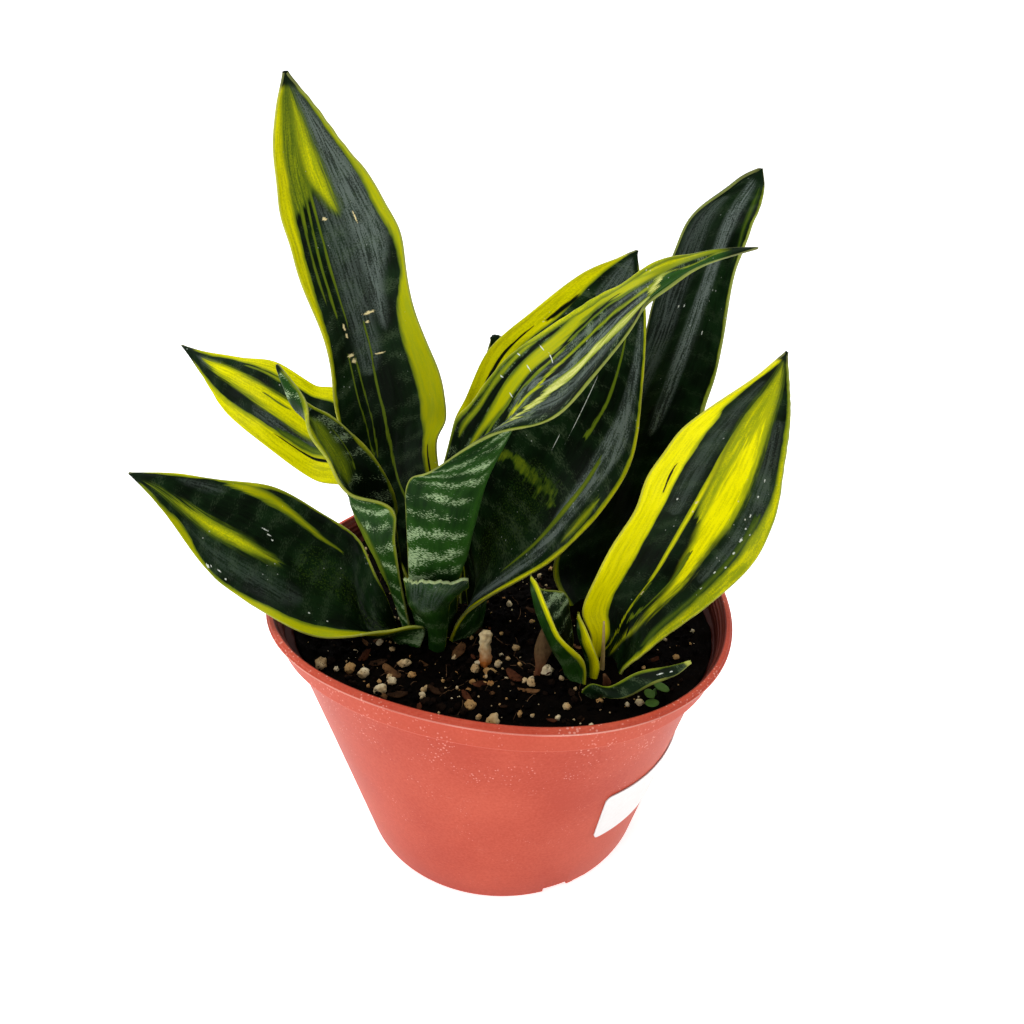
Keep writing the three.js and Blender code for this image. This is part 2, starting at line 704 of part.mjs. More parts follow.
// The two faces lie either side of the sheet and are split into triangles alike.
function bladeGeometry({ stations, thick, edge, columns = BLADE_COLUMNS }) {
  const surface = sheet(stations);
  const rings = 2 * (stations.length - 1); // and then the tip, which is one point
  const positions = [];
  for (let i = 0; i < rings; i += 1) {
    const s = i / rings;
    const taper = 1 - BLADE_TAPER * s;
    for (let j = 0; j <= columns; j += 1) {
      const t = -1 + (2 * j) / columns;
      const depth = Math.max(edge, (thick - (thick - edge) * t * t) * taper) / 2;
      const centre = surface(s, t);
      const normal = sheetNormal(surface, s, t).multiplyScalar(depth);
      positions.push(centre.clone().add(normal).toArray(), centre.sub(normal).toArray());
    }
  }
  const front = (i, j) => 2 * (i * (columns + 1) + j);
  const back = (i, j) => front(i, j) + 1;
  const triangles = [];
  for (let i = 0; i < rings - 1; i += 1) {
    for (let j = 0; j < columns; j += 1) {
      triangles.push(
        [front(i, j), front(i + 1, j), front(i + 1, j + 1)],
        [front(i, j), front(i + 1, j + 1), front(i, j + 1)],
        [back(i, j), back(i + 1, j + 1), back(i + 1, j)],
        [back(i, j), back(i, j + 1), back(i + 1, j + 1)],
      );
    }
    triangles.push(
      [front(i, 0), back(i, 0), back(i + 1, 0)],
      [front(i, 0), back(i + 1, 0), front(i + 1, 0)],
      [front(i, columns), back(i + 1, columns), back(i, columns)],
      [front(i, columns), front(i + 1, columns), back(i + 1, columns)],
    );
  }
  const tip = positions.push(surface(1, 0).toArray()) - 1;
  const last = rings - 1;
  for (let j = 0; j < columns; j += 1) {
    triangles.push(
      [front(0, j), front(0, j + 1), back(0, j + 1)],
      [front(0, j), back(0, j + 1), back(0, j)],
      [front(last, j), tip, front(last, j + 1)],
      [back(last, j), back(last, j + 1), tip],
    );
  }
  triangles.push(
    [front(last, 0), back(last, 0), tip],
    [front(last, columns), tip, back(last, columns)],
  );
  return indexed(positions, triangles);
}

// What stands on a crown has its foot cut level, a clearance above the crown's top.
function standOnCrown(geometry) {
  const below = new THREE.BoxGeometry(2 * POT.lipRadius, 2 * POT.lipRadius, CROWN_HEIGHT);
  below.translate(0, 0, CROWN_TOP + CLEARANCE - CROWN_HEIGHT / 2);
  return toGeometry(toSolid(geometry).subtract(toSolid(below)));
}

function buildLeaf(leaf, look) {
  return meshOf(leaf.name, standOnCrown(bladeGeometry(leaf)), look);
}

function buildShoot(name, { foot, top, radius, tipRadius }, sides) {
  return meshOf(name, standOnCrown(bar(foot, top, radius, tipRadius, sides)), DRY_BROWN);
}

// ---------------------------------------------------------------- small things

function weedLeaf({ at, length, width, turn }) {
  const leaf = new THREE.SphereGeometry(1, 8, 4);
  leaf.scale(length / 2, width / 2, SEEDLING.leafHalfThickness).rotateZ(radians(turn));
  return leaf.translate(...at);
}

function buildSeedling() {
  const { foot, top, stemRadius, leaves } = SEEDLING;
  let solid = toSolid(bar(foot, top, stemRadius, stemRadius, 6));
  for (const leaf of leaves) {
    const stalk = bar(top, leaf.at, stemRadius, stemRadius, 6);
    solid = solid.add(toSolid(stalk)).add(toSolid(weedLeaf(leaf)));
  }
  return meshOf('weed_seedling', toGeometry(solid), WEED_GREEN);
}

// ---------------------------------------------------------------- assembly

const STRIPED = ['pup_leaf_large', 'leaf_left_back', 'leaf_arching', 'pup_leaf_inner'];

const plant = new THREE.Group();
plant.add(buildPot(), buildLabel(), buildSoil());
CROWNS.forEach((crown) => plant.add(buildCrown(crown)));
LEAVES.forEach((leaf) => {
  plant.add(buildLeaf(leaf, STRIPED.includes(leaf.name) ? LEAF_STRIPED : LEAF_DARK));
});
plant.add(
  meshOf('bark_peg', bar(PEG.foot, PEG.top, PEG.radius, PEG.topRadius, PEG.sides), BARK),
  meshOf(DRY_LEAF.name, bladeGeometry(DRY_LEAF), DRY_BROWN),
  buildShoot('pup_bract', BRACT, 8),
  buildShoot('dry_spike', SPIKE, 6),
  buildSeedling(),
);

const footprint = new THREE.Box3().setFromObject(plant).getCenter(new THREE.Vector3());
plant.position.set(-footprint.x, -footprint.y, 0);

export default plant;
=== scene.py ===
"""Potted snake plant: striped leaves, moulded nursery pot, potting mix and a plain studio.

Tables are in millimetres from the pot's axis, with z = 0 on the surface it stands on.
The reference picture is taken from the -Y side.
"""

import math

import bmesh
import bpy
import numpy as np
from mathutils import Matrix, Vector, noise


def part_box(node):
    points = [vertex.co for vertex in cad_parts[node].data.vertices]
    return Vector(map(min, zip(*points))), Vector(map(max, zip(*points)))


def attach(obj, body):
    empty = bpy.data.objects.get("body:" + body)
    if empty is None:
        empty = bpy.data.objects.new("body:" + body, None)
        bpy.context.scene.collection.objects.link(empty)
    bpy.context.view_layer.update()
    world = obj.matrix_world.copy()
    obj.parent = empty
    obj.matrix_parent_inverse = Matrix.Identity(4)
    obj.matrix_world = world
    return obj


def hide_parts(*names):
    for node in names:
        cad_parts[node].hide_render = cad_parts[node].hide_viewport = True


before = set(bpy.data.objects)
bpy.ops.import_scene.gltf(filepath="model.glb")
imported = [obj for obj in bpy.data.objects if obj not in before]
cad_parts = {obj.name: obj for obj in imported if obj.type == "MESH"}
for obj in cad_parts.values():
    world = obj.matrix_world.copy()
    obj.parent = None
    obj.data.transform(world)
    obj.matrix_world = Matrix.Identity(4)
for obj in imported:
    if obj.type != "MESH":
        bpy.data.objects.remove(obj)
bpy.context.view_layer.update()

bl_info = {
    "name": "Potted snake plant",
    "version": (1, 0, 0),
    "blender": (4, 5, 0),
    "location": "3D View > Sidebar > Snake plant",
    "description": "Dresses the plant's solids: striped leaves, moulded pot, potting mix, studio",
    "category": "Add Mesh",
}

MM = 0.001
SHARP_ANGLE = math.radians(40)
MERGE_DISTANCE = 0.002 * MM

# ------------------------------------------------------------------ the pot's sizes, in mm

POT_HEIGHT = 96.6
FOOT_RADIUS = 51.6
SHOULDER_RADIUS = 69.9
SHOULDER_HEIGHT = 85.8
COLLAR_RADIUS = 72.8
LIP_RADIUS = 76.0
LIP_INNER_RADIUS = 73.7
LIP_UNDER = 95.0
WALL = 1.3
STEP_FOOT = 85.4
STEP_TOP = 88.0
FLOOR_TOP = 4.6
FLOOR_UNDERSIDE = 3.0
FOOT_WIDTH = 4.5

# How far the thin pot is out of round and its rim out of level.
OVAL_SHARE, OVAL_ANGLE = 0.0144, math.radians(-33.7)
LOBE_SHARE, LOBE_ANGLE = 0.028, math.radians(-49.6)
WAVE_HEIGHT, WAVE_ANGLE = 2.66, math.radians(68.5)

NOTCHES = [(-70, 9.0, 2.8), (-60, 4.0, 1.1)]  # angle, width and height, three times round
DRAINS = {"count": 6, "radius": 4.0, "ring": 36.0, "cut_from": 0.5, "cut_to": 7}
LABEL = {"left": -60.0, "width": 50.0, "bottom": 28.0, "height": 24.5, "corner": 2.2}

SOIL_LEVEL = 85.0
CLEARANCE = 0.3
CROWNS = {"crown_main": (-20.5, -9.5), "crown_pup": (28.5, -36.5), "crown_back": (30.0, 0.5)}


def middle_of(node):
    low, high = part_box(node)
    return (low + high) / 2


# The crowns are round, so the middle of a crown's box gives the pot's axis in the frame.
AXIS = middle_of("crown_main") - Vector((*CROWNS["crown_main"], 0)) * MM
AXIS.z = 0.0

# ------------------------------------------------------------------ leaves, in mm

# Each leaf is lofted through stations from its base to its tip. A station is a row of nine
# numbers: x, y, z of one margin, of the midrib and of the other margin.
LEAVES = {
    "leaf_tall": dict(thick=2.4, edge=1.0, stations=[
        -28, -4, 80.5, -22, -1, 80.5, -16, -4, 80.5,
        -34, -5, 106, -25, 0.5, 106, -14, -5, 106,
        -47.5, -7, 133, -34.5, 1, 133, -20, -7, 143.5,
        -49, -6, 157.5, -34.5, 1.5, 159.5, -16.5, -6, 163,
        -51, -4, 180, -39.5, 4, 182.5, -24.5, -3, 188.5,
        -58, 0, 203, -45, 7, 205.5, -28.5, 1, 211,
        -61, 4, 222.5, -51, 10, 224, -38, 5, 226.5,
        -59.5, 8, 239, -54.5, 11, 239.5, -48.5, 8, 239,
        -57, 10, 248, -56.5, 10.5, 248.5, -56, 10, 248]),
    "leaf_left_back": dict(thick=2.2, edge=1.0, stations=[
        -30, 1, 80.5, -32, -3, 80.5, -33, -7, 80.5,
        -31.8, 9, 102.3, -37, 4.5, 102.2, -39.5, -1.5, 102,
        -48.2, 14, 153.3, -48.8, 7, 142.8, -46.3, -3, 130.2,
        -60.1, 16, 159.8, -61.7, 10, 150, -60.2, 1, 133.4,
        -71.6, 18, 166.6, -74.2, 13, 157.4, -75.7, 5, 144.2,
        -83.5, 21, 167, -86, 18, 162, -88.5, 12, 152.5,
        -96.5, 28, 166.5, -96.5, 26, 163.5, -97, 23, 159.5,
        -105.5, 32, 167.5, -105.5, 32, 167.5, -105.5, 32, 167]),
    "leaf_left_low": dict(thick=2.2, edge=1.0, stations=[
        -34, -11.5, 80.5, -33, -17, 80.5, -28, -22.5, 80.5,
        -38.5, -13, 101, -37.5, -19.5, 89, -24.5, -26.5, 96,
        -43, -8, 109, -45, -17, 90, -37, -29, 95.5,
        -48.5, -2, 115, -51, -12, 98.5, -49.5, -31, 95.5,
        -58.5, 0, 122, -64.5, -12, 107.5, -62, -32, 98.5,
        -72.5, -1, 132, -77.5, -12, 117, -78, -26, 105,
        -87, -5, 136.5, -90.5, -11, 125.5, -91.5, -19, 112.5,
        -100.5, -8, 140.5, -102.5, -11, 137, -103.5, -14, 131.5,
        -112.5, -10, 141.5, -112.5, -10, 141.5, -112.5, -10, 141]),
    "leaf_cupped": dict(thick=1.9, edge=0.9, stations=[
        -27, -20, 80.5, -31, -14, 80.5, -29, -8.5, 80.5,
        -30.5, -23, 102, -34.5, -17, 102, -32, -9.5, 102,
        -31, -28.5, 127.5, -39, -22, 121.5, -33, -12, 122.5,
        -31, -30, 139.5, -43, -22, 133.5, -32, -12, 130.5,
        -42, -31, 145.5, -44.5, -20, 144, -34.5, -11.5, 140,
        -47.5, -30, 154, -47, -17, 150.5, -39.5, -12, 150,
        -52, -27, 162, -52.5, -16, 159.5, -47.5, -13, 160,
        -54.5, -20, 169, -58.5, -17, 166, -56, -13, 166,
        -63, -11, 176.5, -63.5, -11, 176, -63, -11, 176]),
    "leaf_arching": dict(thick=2.2, edge=1.0, stations=[
        -27, -17.5, 80.5, -21, -19, 80.5, -18, -13, 80.5,
        -29, -20.5, 100, -20.5, -22.8, 100, -15, -12, 100,
        -28.5, -25.5, 115, -13.5, -24.5, 115, -20, -8.5, 117,
        -27.5, -29.5, 138.5, -9.5, -27, 131, -19.5, -8.5, 134.5,
        -25.5, -33, 150.5, -6, -27, 145, -15, -8, 154.5,
        -17, -34, 155, 0.5, -25, 159, -8, -8, 165,
        -4, -34, 164.5, 8, -22, 171.5, 2.5, -8, 177.5,
        15, -32, 169.5, 20, -19, 179.5, 15, -7, 187,
        32, -24, 188, 32, -17, 192.5, 29.5, -8, 196,
        40.5, -17.5, 197, 43, -14, 200, 41.5, -9, 204,
        53, -13.5, 203.7, 54.5, -12, 205.2, 53.5, -10, 207,
        68, -10.3, 207.8, 68, -10, 208, 68, -9.7, 208.2]),
    "leaf_broad": dict(thick=2.4, edge=1.0, stations=[
        -11, -4, 80.5, -9, -12, 80.5, -17, -21, 80.5,
        -14, 4, 102, -6.5, -9.5, 93, -16.8, -20.8, 87.5,
        -19.5, 12, 124, -7.5, -3, 105.5, -11.5, -18.5, 95.5,
        -16.5, 15, 144.5, 4, 3, 125, 13.5, -14, 110.5,
        -11.5, 17, 155.5, 13.5, 8, 144, 28.5, -9, 123.5,
        -4, 19, 170.5, 21.5, 13, 160.5, 40, -2, 140,
        10, 21, 182.5, 30, 18, 175.5, 43.5, 7, 161.5,
        24.5, 23, 193, 35, 22, 187.5, 44.5, 17, 180.5,
        35.5, 25, 197.5, 39, 25, 195, 43, 23, 190.5,
        41.5, 26, 199.5, 41.5, 26, 199.5, 41.5, 26, 199]),
    "leaf_stub_front": dict(thick=1.6, edge=0.9, torn=True, stations=[
        -23, -23.5, 80.5, -21.5, -24, 80.5, -19.5, -24, 80.5,
        -24.5, -24.3, 96, -21, -27.3, 96.5, -17, -26, 96.5,
        -28.5, -26.5, 105, -22, -30, 107, -15, -26.5, 107,
        -29.5, -30, 118.5, -18.5, -33, 118.5, -5, -25, 114.5]),
    "leaf_young_back": dict(thick=1.8, edge=0.9, stations=[
        -15, 0.5, 80.5, -12.5, 1.5, 80.5, -10, 0.5, 80.5,
        -14, 11, 110, -8, 13, 110, -3, 11, 110,
        -11, 19, 140, -6, 21, 140, -2, 19, 140,
        -5, 24, 167.5, -2.5, 25, 168.5, -0.5, 24, 170,
        -3, 27, 172, -2.5, 27, 172.5, -1.5, 27, 172]),
    "leaf_back_plant": dict(thick=2.4, edge=1.0, stations=[
        25, -1, 80.5, 30, 4, 80.5, 35, -1, 80.5,
        17.5, 3, 98.5, 33, 11, 96.8, 46.5, 4, 101,
        26.1, 10, 120.7, 41.7, 16, 125.4, 55, 6, 131,
        35.3, 14, 148.4, 50.3, 21, 152.4, 64, 10, 152.3,
        43.5, 19, 170, 58.4, 26, 174.3, 68.3, 15, 173,
        48.1, 24, 185.4, 63.4, 31, 192, 71.5, 21, 196.3,
        55.5, 24, 207, 67, 31, 209, 76.5, 26, 208,
        69, 30, 218, 74, 33, 218, 79.5, 31, 216,
        78.5, 34, 222, 78.5, 34, 222, 79, 34, 222]),
    "pup_leaf_large": dict(thick=2.2, edge=1.0, stations=[
        25.5, -29.5, 80.5, 31, -29, 80.5, 35, -35, 80.5,
        27.5, -31.5, 95, 37, -27, 90, 38.5, -37, 88.5,
        24, -30.5, 105, 40, -23, 100.5, 48, -33, 95,
        29, -29, 118, 49.5, -17, 111.5, 64, -28, 105.5,
        38.5, -24, 136, 59.5, -12, 128.5, 78, -22, 119,
        46, -18, 151, 67, -8, 143, 83.5, -16, 135,
        58.5, -12, 162, 73.5, -6, 157.5, 84, -12, 156,
        74, -6, 171, 79.5, -4, 168.5, 84, -7, 167.5,
        82, -4, 177, 82.5, -4, 177.5, 82.5, -4, 177]),
    "pup_leaf_folded": dict(thick=1.6, edge=0.9, stations=[
        25.5, -40.5, 80.5, 21, -37, 80.5, 21.5, -31.5, 80.5,
        24, -42, 95, 19, -37, 88, 21.5, -29.5, 90,
        16.5, -42, 104.5, 15, -38, 97.5, 21, -28.5, 102,
        12.5, -40, 114, 11, -38, 108.5, 18.5, -30, 111,
        10, -37, 119.5, 9, -37, 115, 11, -34, 115.5,
        8, -35, 121, 8, -35, 121, 8, -35, 121]),
    "pup_leaf_low": dict(thick=1.3, edge=0.9, stations=[
        22.5, -43, 80.5, 25, -45, 80.5, 29.5, -44.5, 80.5,
        26, -45, 88.5, 27.5, -47.5, 88, 30, -49, 87.5,
        31.5, -48, 90.5, 33, -51, 90, 34.5, -53, 90,
        39.5, -48.3, 95.7, 41, -51.5, 95, 43, -53, 95.6,
        47.5, -48, 97.5, 48.5, -50, 97, 49.5, -51, 96.5,
        54.5, -47, 99, 54.5, -47.5, 99, 55, -48, 99]),
    "pup_leaf_inner": dict(thick=1.3, edge=0.9, stations=[
        28.5, -37.5, 80.5, 26, -36.5, 80.5, 26.5, -34, 80.5,
        29.5, -38.5, 90.5, 26, -36.5, 90.5, 26.5, -34, 89.8,
        27, -38, 97.5, 23.5, -35, 98, 24, -33.5, 98.5,
        22.5, -34.5, 106.5, 22.5, -34, 106.5, 22.5, -33.5, 106.5]),
}
LEAF_FOOT = 82.2  # the height at which a leaf meets its crown; no blade starts below it
BLADE_TAPER = 0.45
RIB_HEIGHT, RIB_SPACING = 0.10, 4.3
FLUTTER_HEIGHT, FLUTTER_LENGTH = 0.45, 3.9

# Markings on a blade. u runs from 0 at the first margin to 1 at the second, and s from 0 at the
# base to 1 at the tip. "first" and "second" say how far the yellow margins reach, as (s, u). A
# band is a tone, the softness of its edge in mm, and (s, from u, to u) along the leaf. A bar is
# the same across the leaf, as (u, from s, to s). A scar is u, s and its half sizes in mm, and
# "silver" is how strong the cross bands are on the inner and the outer face.
# The sheen entries are painted highlights in grey: strength, softness in mm and rows as for a band,
# on the inner face and on the outer face.
MARKINGS = {
    "leaf_tall": dict(
        inner="back", silver=(0.05, 0.8), tip=("horn", 3.5),
        first=("yellow", [(0, 0.02), (0.45, 0.03), (0.5, 0.05), (0.55, 0.075), (0.6, 0.1),
            (0.65, 0.12), (0.7, 0.14), (0.75, 0.15), (0.85, 0.13), (0.95, 0.2), (1, 0.4)]),
        second=("gold", [(0, 0.95), (0.15, 0.9), (0.25, 0.87), (0.3, 0.85), (0.33, 0.82),
            (0.36, 0.79), (0.45, 0.8), (0.48, 0.82), (0.52, 0.87), (0.54, 0.92), (0.57, 0.95),
            (0.65, 0.91), (0.7, 0.905), (0.75, 0.93), (0.9, 0.93), (1, 0.7)]),
        bands=[
            ("haze", 2.4, [(0.69, 0.04, 0.2), (0.72, 0.03, 0.38), (0.74, 0.03, 0.44),
                (0.8, 0.02, 0.48), (0.9, 0.02, 0.5), (0.94, 0.05, 0.48)]),
            ("lime", 3.6, [(0.68, 0.5, 0.6), (0.71, 0.42, 0.61), (0.74, 0.34, 0.62),
                (0.8, 0.3, 0.61), (0.86, 0.3, 0.6), (0.9, 0.3, 0.57), (0.94, 0.36, 0.5)]),
            ("line", 0.25, [(0.51, 0.284, 0.296), (0.55, 0.286, 0.304), (0.6, 0.298, 0.324),
                (0.65, 0.32, 0.342), (0.73, 0.345, 0.37)]),
            ("line", 0.3, [(0.53, 0.195, 0.21), (0.6, 0.22, 0.24), (0.65, 0.245, 0.265),
                (0.71, 0.285, 0.3)]),
            ("line", 0.4, [(0.56, 0.14, 0.155), (0.64, 0.17, 0.19), (0.7, 0.2, 0.23)]),
            ("line", 0.2, [(0.3, 0.32, 0.333), (0.32, 0.285, 0.3), (0.35, 0.25, 0.264),
                (0.4, 0.205, 0.22), (0.47, 0.2, 0.212)]),
            ("line", 0.2, [(0.3, 0.355, 0.366), (0.35, 0.318, 0.33), (0.4, 0.283, 0.296),
                (0.46, 0.268, 0.28)]),
            ("line", 0.25, [(0, 0.6, 0.63), (0.15, 0.58, 0.61), (0.25, 0.548, 0.576),
                (0.3, 0.5, 0.53), (0.35, 0.44, 0.467), (0.4, 0.416, 0.442), (0.43, 0.425, 0.448),
                (0.46, 0.458, 0.475), (0.51, 0.477, 0.488)]),
            ("dark", 0.25, [(0, 0.93, 0.955), (0.2, 0.92, 0.94), (0.29, 0.915, 0.92)])],
        painted_sheen=[
            (0.75, 4, [(0.5, 0.66, 0.72), (0.56, 0.62, 0.8), (0.62, 0.6, 0.9), (0.7, 0.6, 0.92),
                (0.8, 0.6, 0.95), (0.88, 0.56, 0.9), (0.95, 0.6, 0.8)]),
            (0.42, 4, [(0.44, 0.3, 0.5), (0.5, 0.3, 0.6), (0.6, 0.33, 0.6), (0.7, 0.36, 0.6)])],
        scars=[(0.412, 0.668, 0.8, 0.5), (0.565, 0.518, 2.3, 0.4), (0.52, 0.506, 0.8, 0.4),
            (0.243, 0.51, 0.4, 0.9), (0.246, 0.497, 0.4, 0.7), (0.235, 0.465, 1.3, 0.5),
            (0.255, 0.455, 0.9, 0.7), (0.55, 0.455, 2, 0.25), (0.705, 0.66, 0.25, 1.8)]),
    "leaf_left_back": dict(
        inner="front", silver=(0.03, 0.5), tip=("horn", 7),
        first=("yellow", [(0, 0.3), (0.3, 0.22), (0.5, 0.2), (0.6, 0.2), (0.65, 0.18), (0.7, 0.17),
            (0.75, 0.15), (0.85, 0.15), (0.92, 0.2), (1, 0.4)]),
        second=("yellow", [(0, 0.7), (0.3, 0.76), (0.4, 0.785), (0.5, 0.8), (0.6, 0.81),
            (0.7, 0.84), (0.8, 0.865), (0.88, 0.87), (0.95, 0.8), (1, 0.6)]),
        bands=[
            ("yellow", 1.5, [(0, 0.42, 0.62), (0.3, 0.42, 0.66), (0.4, 0.43, 0.69),
                (0.5, 0.42, 0.68), (0.6, 0.4, 0.66), (0.7, 0.36, 0.64), (0.8, 0.33, 0.6),
                (0.86, 0.36, 0.52)]),
            ("lime", 0.6, [(0.53, 0.21, 0.27), (0.6, 0.21, 0.25), (0.67, 0.2, 0.22)]),
            ("olive", 0.6, [(0.3, 0.72, 0.8), (0.45, 0.73, 0.81), (0.53, 0.77, 0.81)]),
            ("dark", 0.25, [(0.3, 0.8, 0.815), (0.45, 0.825, 0.84), (0.53, 0.835, 0.84)]),
            ("scorch", 0.4, [(0.49, 0.5, 0.51), (0.53, 0.5, 0.525), (0.58, 0.49, 0.5)])],
        painted_sheen=[
            (0.45, 3, [(0.3, 0.68, 0.8), (0.5, 0.68, 0.8), (0.6, 0.7, 0.78)]),
            (0.5, 2.5, [(0.8, 0.3, 0.5), (0.86, 0.3, 0.6), (0.89, 0.4, 0.5)])]),
    "leaf_left_low": dict(
        inner="front", silver=(0.03, 0.5), tip=("horn", 4),
        first=("yellow", [(0, 0.012), (0.55, 0.012), (0.6, 0.02), (0.66, 0.03), (0.72, 0.03),
            (0.78, 0.02), (0.81, 0.05), (0.85, 0.09), (0.9, 0.12), (0.95, 0.15), (1, 0.5)]),
        second=("gold", [(0, 1), (0.13, 0.99), (0.19, 0.96), (0.25, 0.92), (0.3, 0.91),
            (0.5, 0.92), (0.57, 0.93), (0.65, 0.955), (0.72, 0.96), (0.77, 0.93), (0.8, 0.85),
            (0.83, 0.83), (0.86, 0.88), (0.9, 0.87), (0.95, 0.82), (1, 0.5)]),
        bands=[
            ("gold", 0.7, [(0.4, 0.185, 0.195), (0.45, 0.165, 0.195), (0.5, 0.135, 0.18),
                (0.55, 0.1, 0.165), (0.6, 0.065, 0.155), (0.65, 0.035, 0.14), (0.7, 0, 0.1),
                (0.74, 0, 0.05)]),
            ("lime", 2.6, [(0.56, 0.52, 0.56), (0.6, 0.505, 0.58), (0.65, 0.48, 0.61),
                (0.7, 0.465, 0.62), (0.75, 0.465, 0.645), (0.8, 0.49, 0.66), (0.85, 0.57, 0.68),
                (0.9, 0.63, 0.67)]),
            ("mottle", 5, [(0.1, 0.25, 0.6), (0.3, 0.3, 0.65), (0.5, 0.25, 0.6)])],
        painted_sheen=[
            (0.16, 5, [(0.5, 0.68, 0.8), (0.6, 0.66, 0.88), (0.7, 0.68, 0.88), (0.8, 0.74, 0.8)]),
            (0.3, 3, [(0.74, 0.1, 0.16), (0.79, 0.08, 0.2), (0.84, 0.12, 0.18)])],
        white_scars=[(0.345, 0.612, 0.25, 0.9), (0.37, 0.6, 0.2, 0.6), (0.395, 0.588, 0.3, 0.4),
            (0.95, 0.745, 0.4, 0.6), (0.92, 0.735, 0.3, 0.3), (0.9, 0.71, 0.2, 0.6),
            (0.93, 0.69, 0.3, 0.3), (0.83, 0.47, 0.2, 0.3), (0.86, 0.42, 0.2, 0.3)]),
    "leaf_cupped": dict(
        inner="back", silver=(0.45, 0.7), tip=("horn", 3),
        first=("lime", [(0, 0.02), (0.5, 0.025), (0.6, 0.05), (0.65, 0.08), (0.7, 0.11),
            (0.75, 0.13), (0.85, 0.08), (0.92, 0.06), (1, 0.3)]),
        second=("lime", [(0, 0.97), (0.5, 0.97), (0.6, 0.95), (0.65, 0.93), (0.7, 0.965),
            (0.76, 0.94), (0.82, 0.92), (0.9, 0.9), (1, 0.6)]),
        bands=[
            ("haze", 4.5, [(0.5, 0.3, 0.5), (0.55, 0.2, 0.55), (0.6, 0.13, 0.57),
                (0.65, 0.1, 0.58), (0.7, 0.12, 0.58), (0.75, 0.2, 0.58), (0.79, 0.3, 0.5)]),
            ("line", 0.3, [(0.54, 0.45, 0.465), (0.62, 0.4, 0.42), (0.72, 0.38, 0.4)]),
            ("line", 0.3, [(0.54, 0.62, 0.635), (0.62, 0.66, 0.68), (0.72, 0.7, 0.72)])],
        outer_bands=[("olive", 1.2, [(0, 0.35, 0.65), (0.1, 0.3, 0.72), (0.2, 0.24, 0.76),
            (0.28, 0.27, 0.7), (0.36, 0.32, 0.62), (0.42, 0.4, 0.5)])]),
    "leaf_arching": dict(
        inner="front", silver=(0.2, 0.7), tip=("horn", 9),
        first=("cream", [(0, 0.003), (0.5, 0.004), (0.6, 0.008), (0.8, 0.02), (1, 0.1)]),
        second=("lime", [(0, 0.99), (0.45, 0.975), (0.5, 0.97), (0.55, 0.975), (0.6, 0.94),
            (0.65, 0.93), (0.7, 0.9), (0.8, 0.9), (1, 0.9)]),
        bands=[
            ("lime", 0.8, [(0.38, 0.935, 0.96), (0.5, 0.925, 0.965), (0.58, 0.93, 0.98)]),
            ("gold", 0.7, [(0.36, 0.85, 0.87), (0.42, 0.815, 0.87), (0.45, 0.785, 0.875),
                (0.5, 0.735, 0.878), (0.55, 0.72, 0.88), (0.6, 0.725, 0.895), (0.65, 0.775, 0.93),
                (0.7, 0.815, 1), (0.75, 0.7, 1), (0.8, 0.68, 1), (0.9, 0.68, 1), (0.96, 0.75, 1)]),
            ("line", 0.3, [(0.42, 0.78, 0.8), (0.45, 0.765, 0.79), (0.49, 0.715, 0.745),
                (0.52, 0.67, 0.7), (0.55, 0.625, 0.67), (0.575, 0.635, 0.695), (0.6, 0.655, 0.715),
                (0.65, 0.725, 0.75), (0.7, 0.74, 0.77), (0.75, 0.7, 0.76)]),
            ("lime", 0.6, [(0.47, 0.64, 0.66), (0.5, 0.52, 0.62), (0.53, 0.42, 0.52),
                (0.555, 0.42, 0.5), (0.575, 0.48, 0.55), (0.6, 0.54, 0.6), (0.65, 0.58, 0.625),
                (0.7, 0.55, 0.61), (0.75, 0.5, 0.58), (0.79, 0.48, 0.6)]),
            ("cream", 0.6, [(0.55, 0.1, 0.13), (0.565, 0.14, 0.25), (0.58, 0.2, 0.34),
                (0.6, 0.27, 0.42), (0.63, 0.325, 0.44), (0.66, 0.325, 0.44), (0.7, 0.245, 0.375),
                (0.74, 0.19, 0.34), (0.79, 0.19, 0.33)]),
            ("dark", 0.3, [(0.58, 0.48, 0.51), (0.6, 0.49, 0.54), (0.63, 0.54, 0.57),
                (0.65, 0.56, 0.577), (0.7, 0.51, 0.533), (0.76, 0.455, 0.49)]),
            ("dark", 0.3, [(0.44, 0.7, 0.71), (0.5, 0.7, 0.72), (0.55, 0.675, 0.7),
                (0.6, 0.69, 0.718), (0.65, 0.752, 0.775), (0.7, 0.78, 0.81), (0.73, 0.81, 0.82)]),
            ("dark", 0.4, [(0.38, 0.885, 0.925), (0.45, 0.885, 0.925), (0.5, 0.885, 0.918),
                (0.55, 0.885, 0.91), (0.6, 0.903, 0.93), (0.63, 0.915, 0.925)]),
            ("yellow", 1.0, [(0.78, 0.86, 0.92), (0.84, 0.76, 0.97), (0.9, 0.78, 0.98),
                (0.95, 0.86, 0.96)]),
            ("fold", 0.6, [(0.805, 0, 0.55), (0.82, 0, 0.62), (0.85, 0, 0.52), (0.88, 0, 0.46),
                (0.92, 0, 0.6), (0.96, 0, 0.7)]),
            ("cream", 0.3, [(0.8, 0.3, 0.62), (0.815, 0.6, 0.7), (0.83, 0.61, 0.67),
                (0.86, 0.5, 0.56), (0.88, 0.46, 0.52), (0.92, 0.6, 0.68), (0.95, 0.7, 0.78)])],
        painted_sheen=[
            (0.55, 2.5, [(0.5, 0.02, 0.2), (0.56, 0.05, 0.15), (0.6, 0.1, 0.27), (0.66, 0.16, 0.3),
                (0.74, 0.1, 0.18)]),
            (0.8, 1.5, [(0.55, 0.5, 0.6), (0.6, 0.43, 0.49), (0.65, 0.45, 0.55), (0.7, 0.38, 0.49),
                (0.78, 0.35, 0.45)]),
            (0.6, 1.5, [(0.5, 0.6, 0.68), (0.58, 0.6, 0.64), (0.65, 0.64, 0.71), (0.7, 0.63, 0.69),
                (0.78, 0.6, 0.66)])],
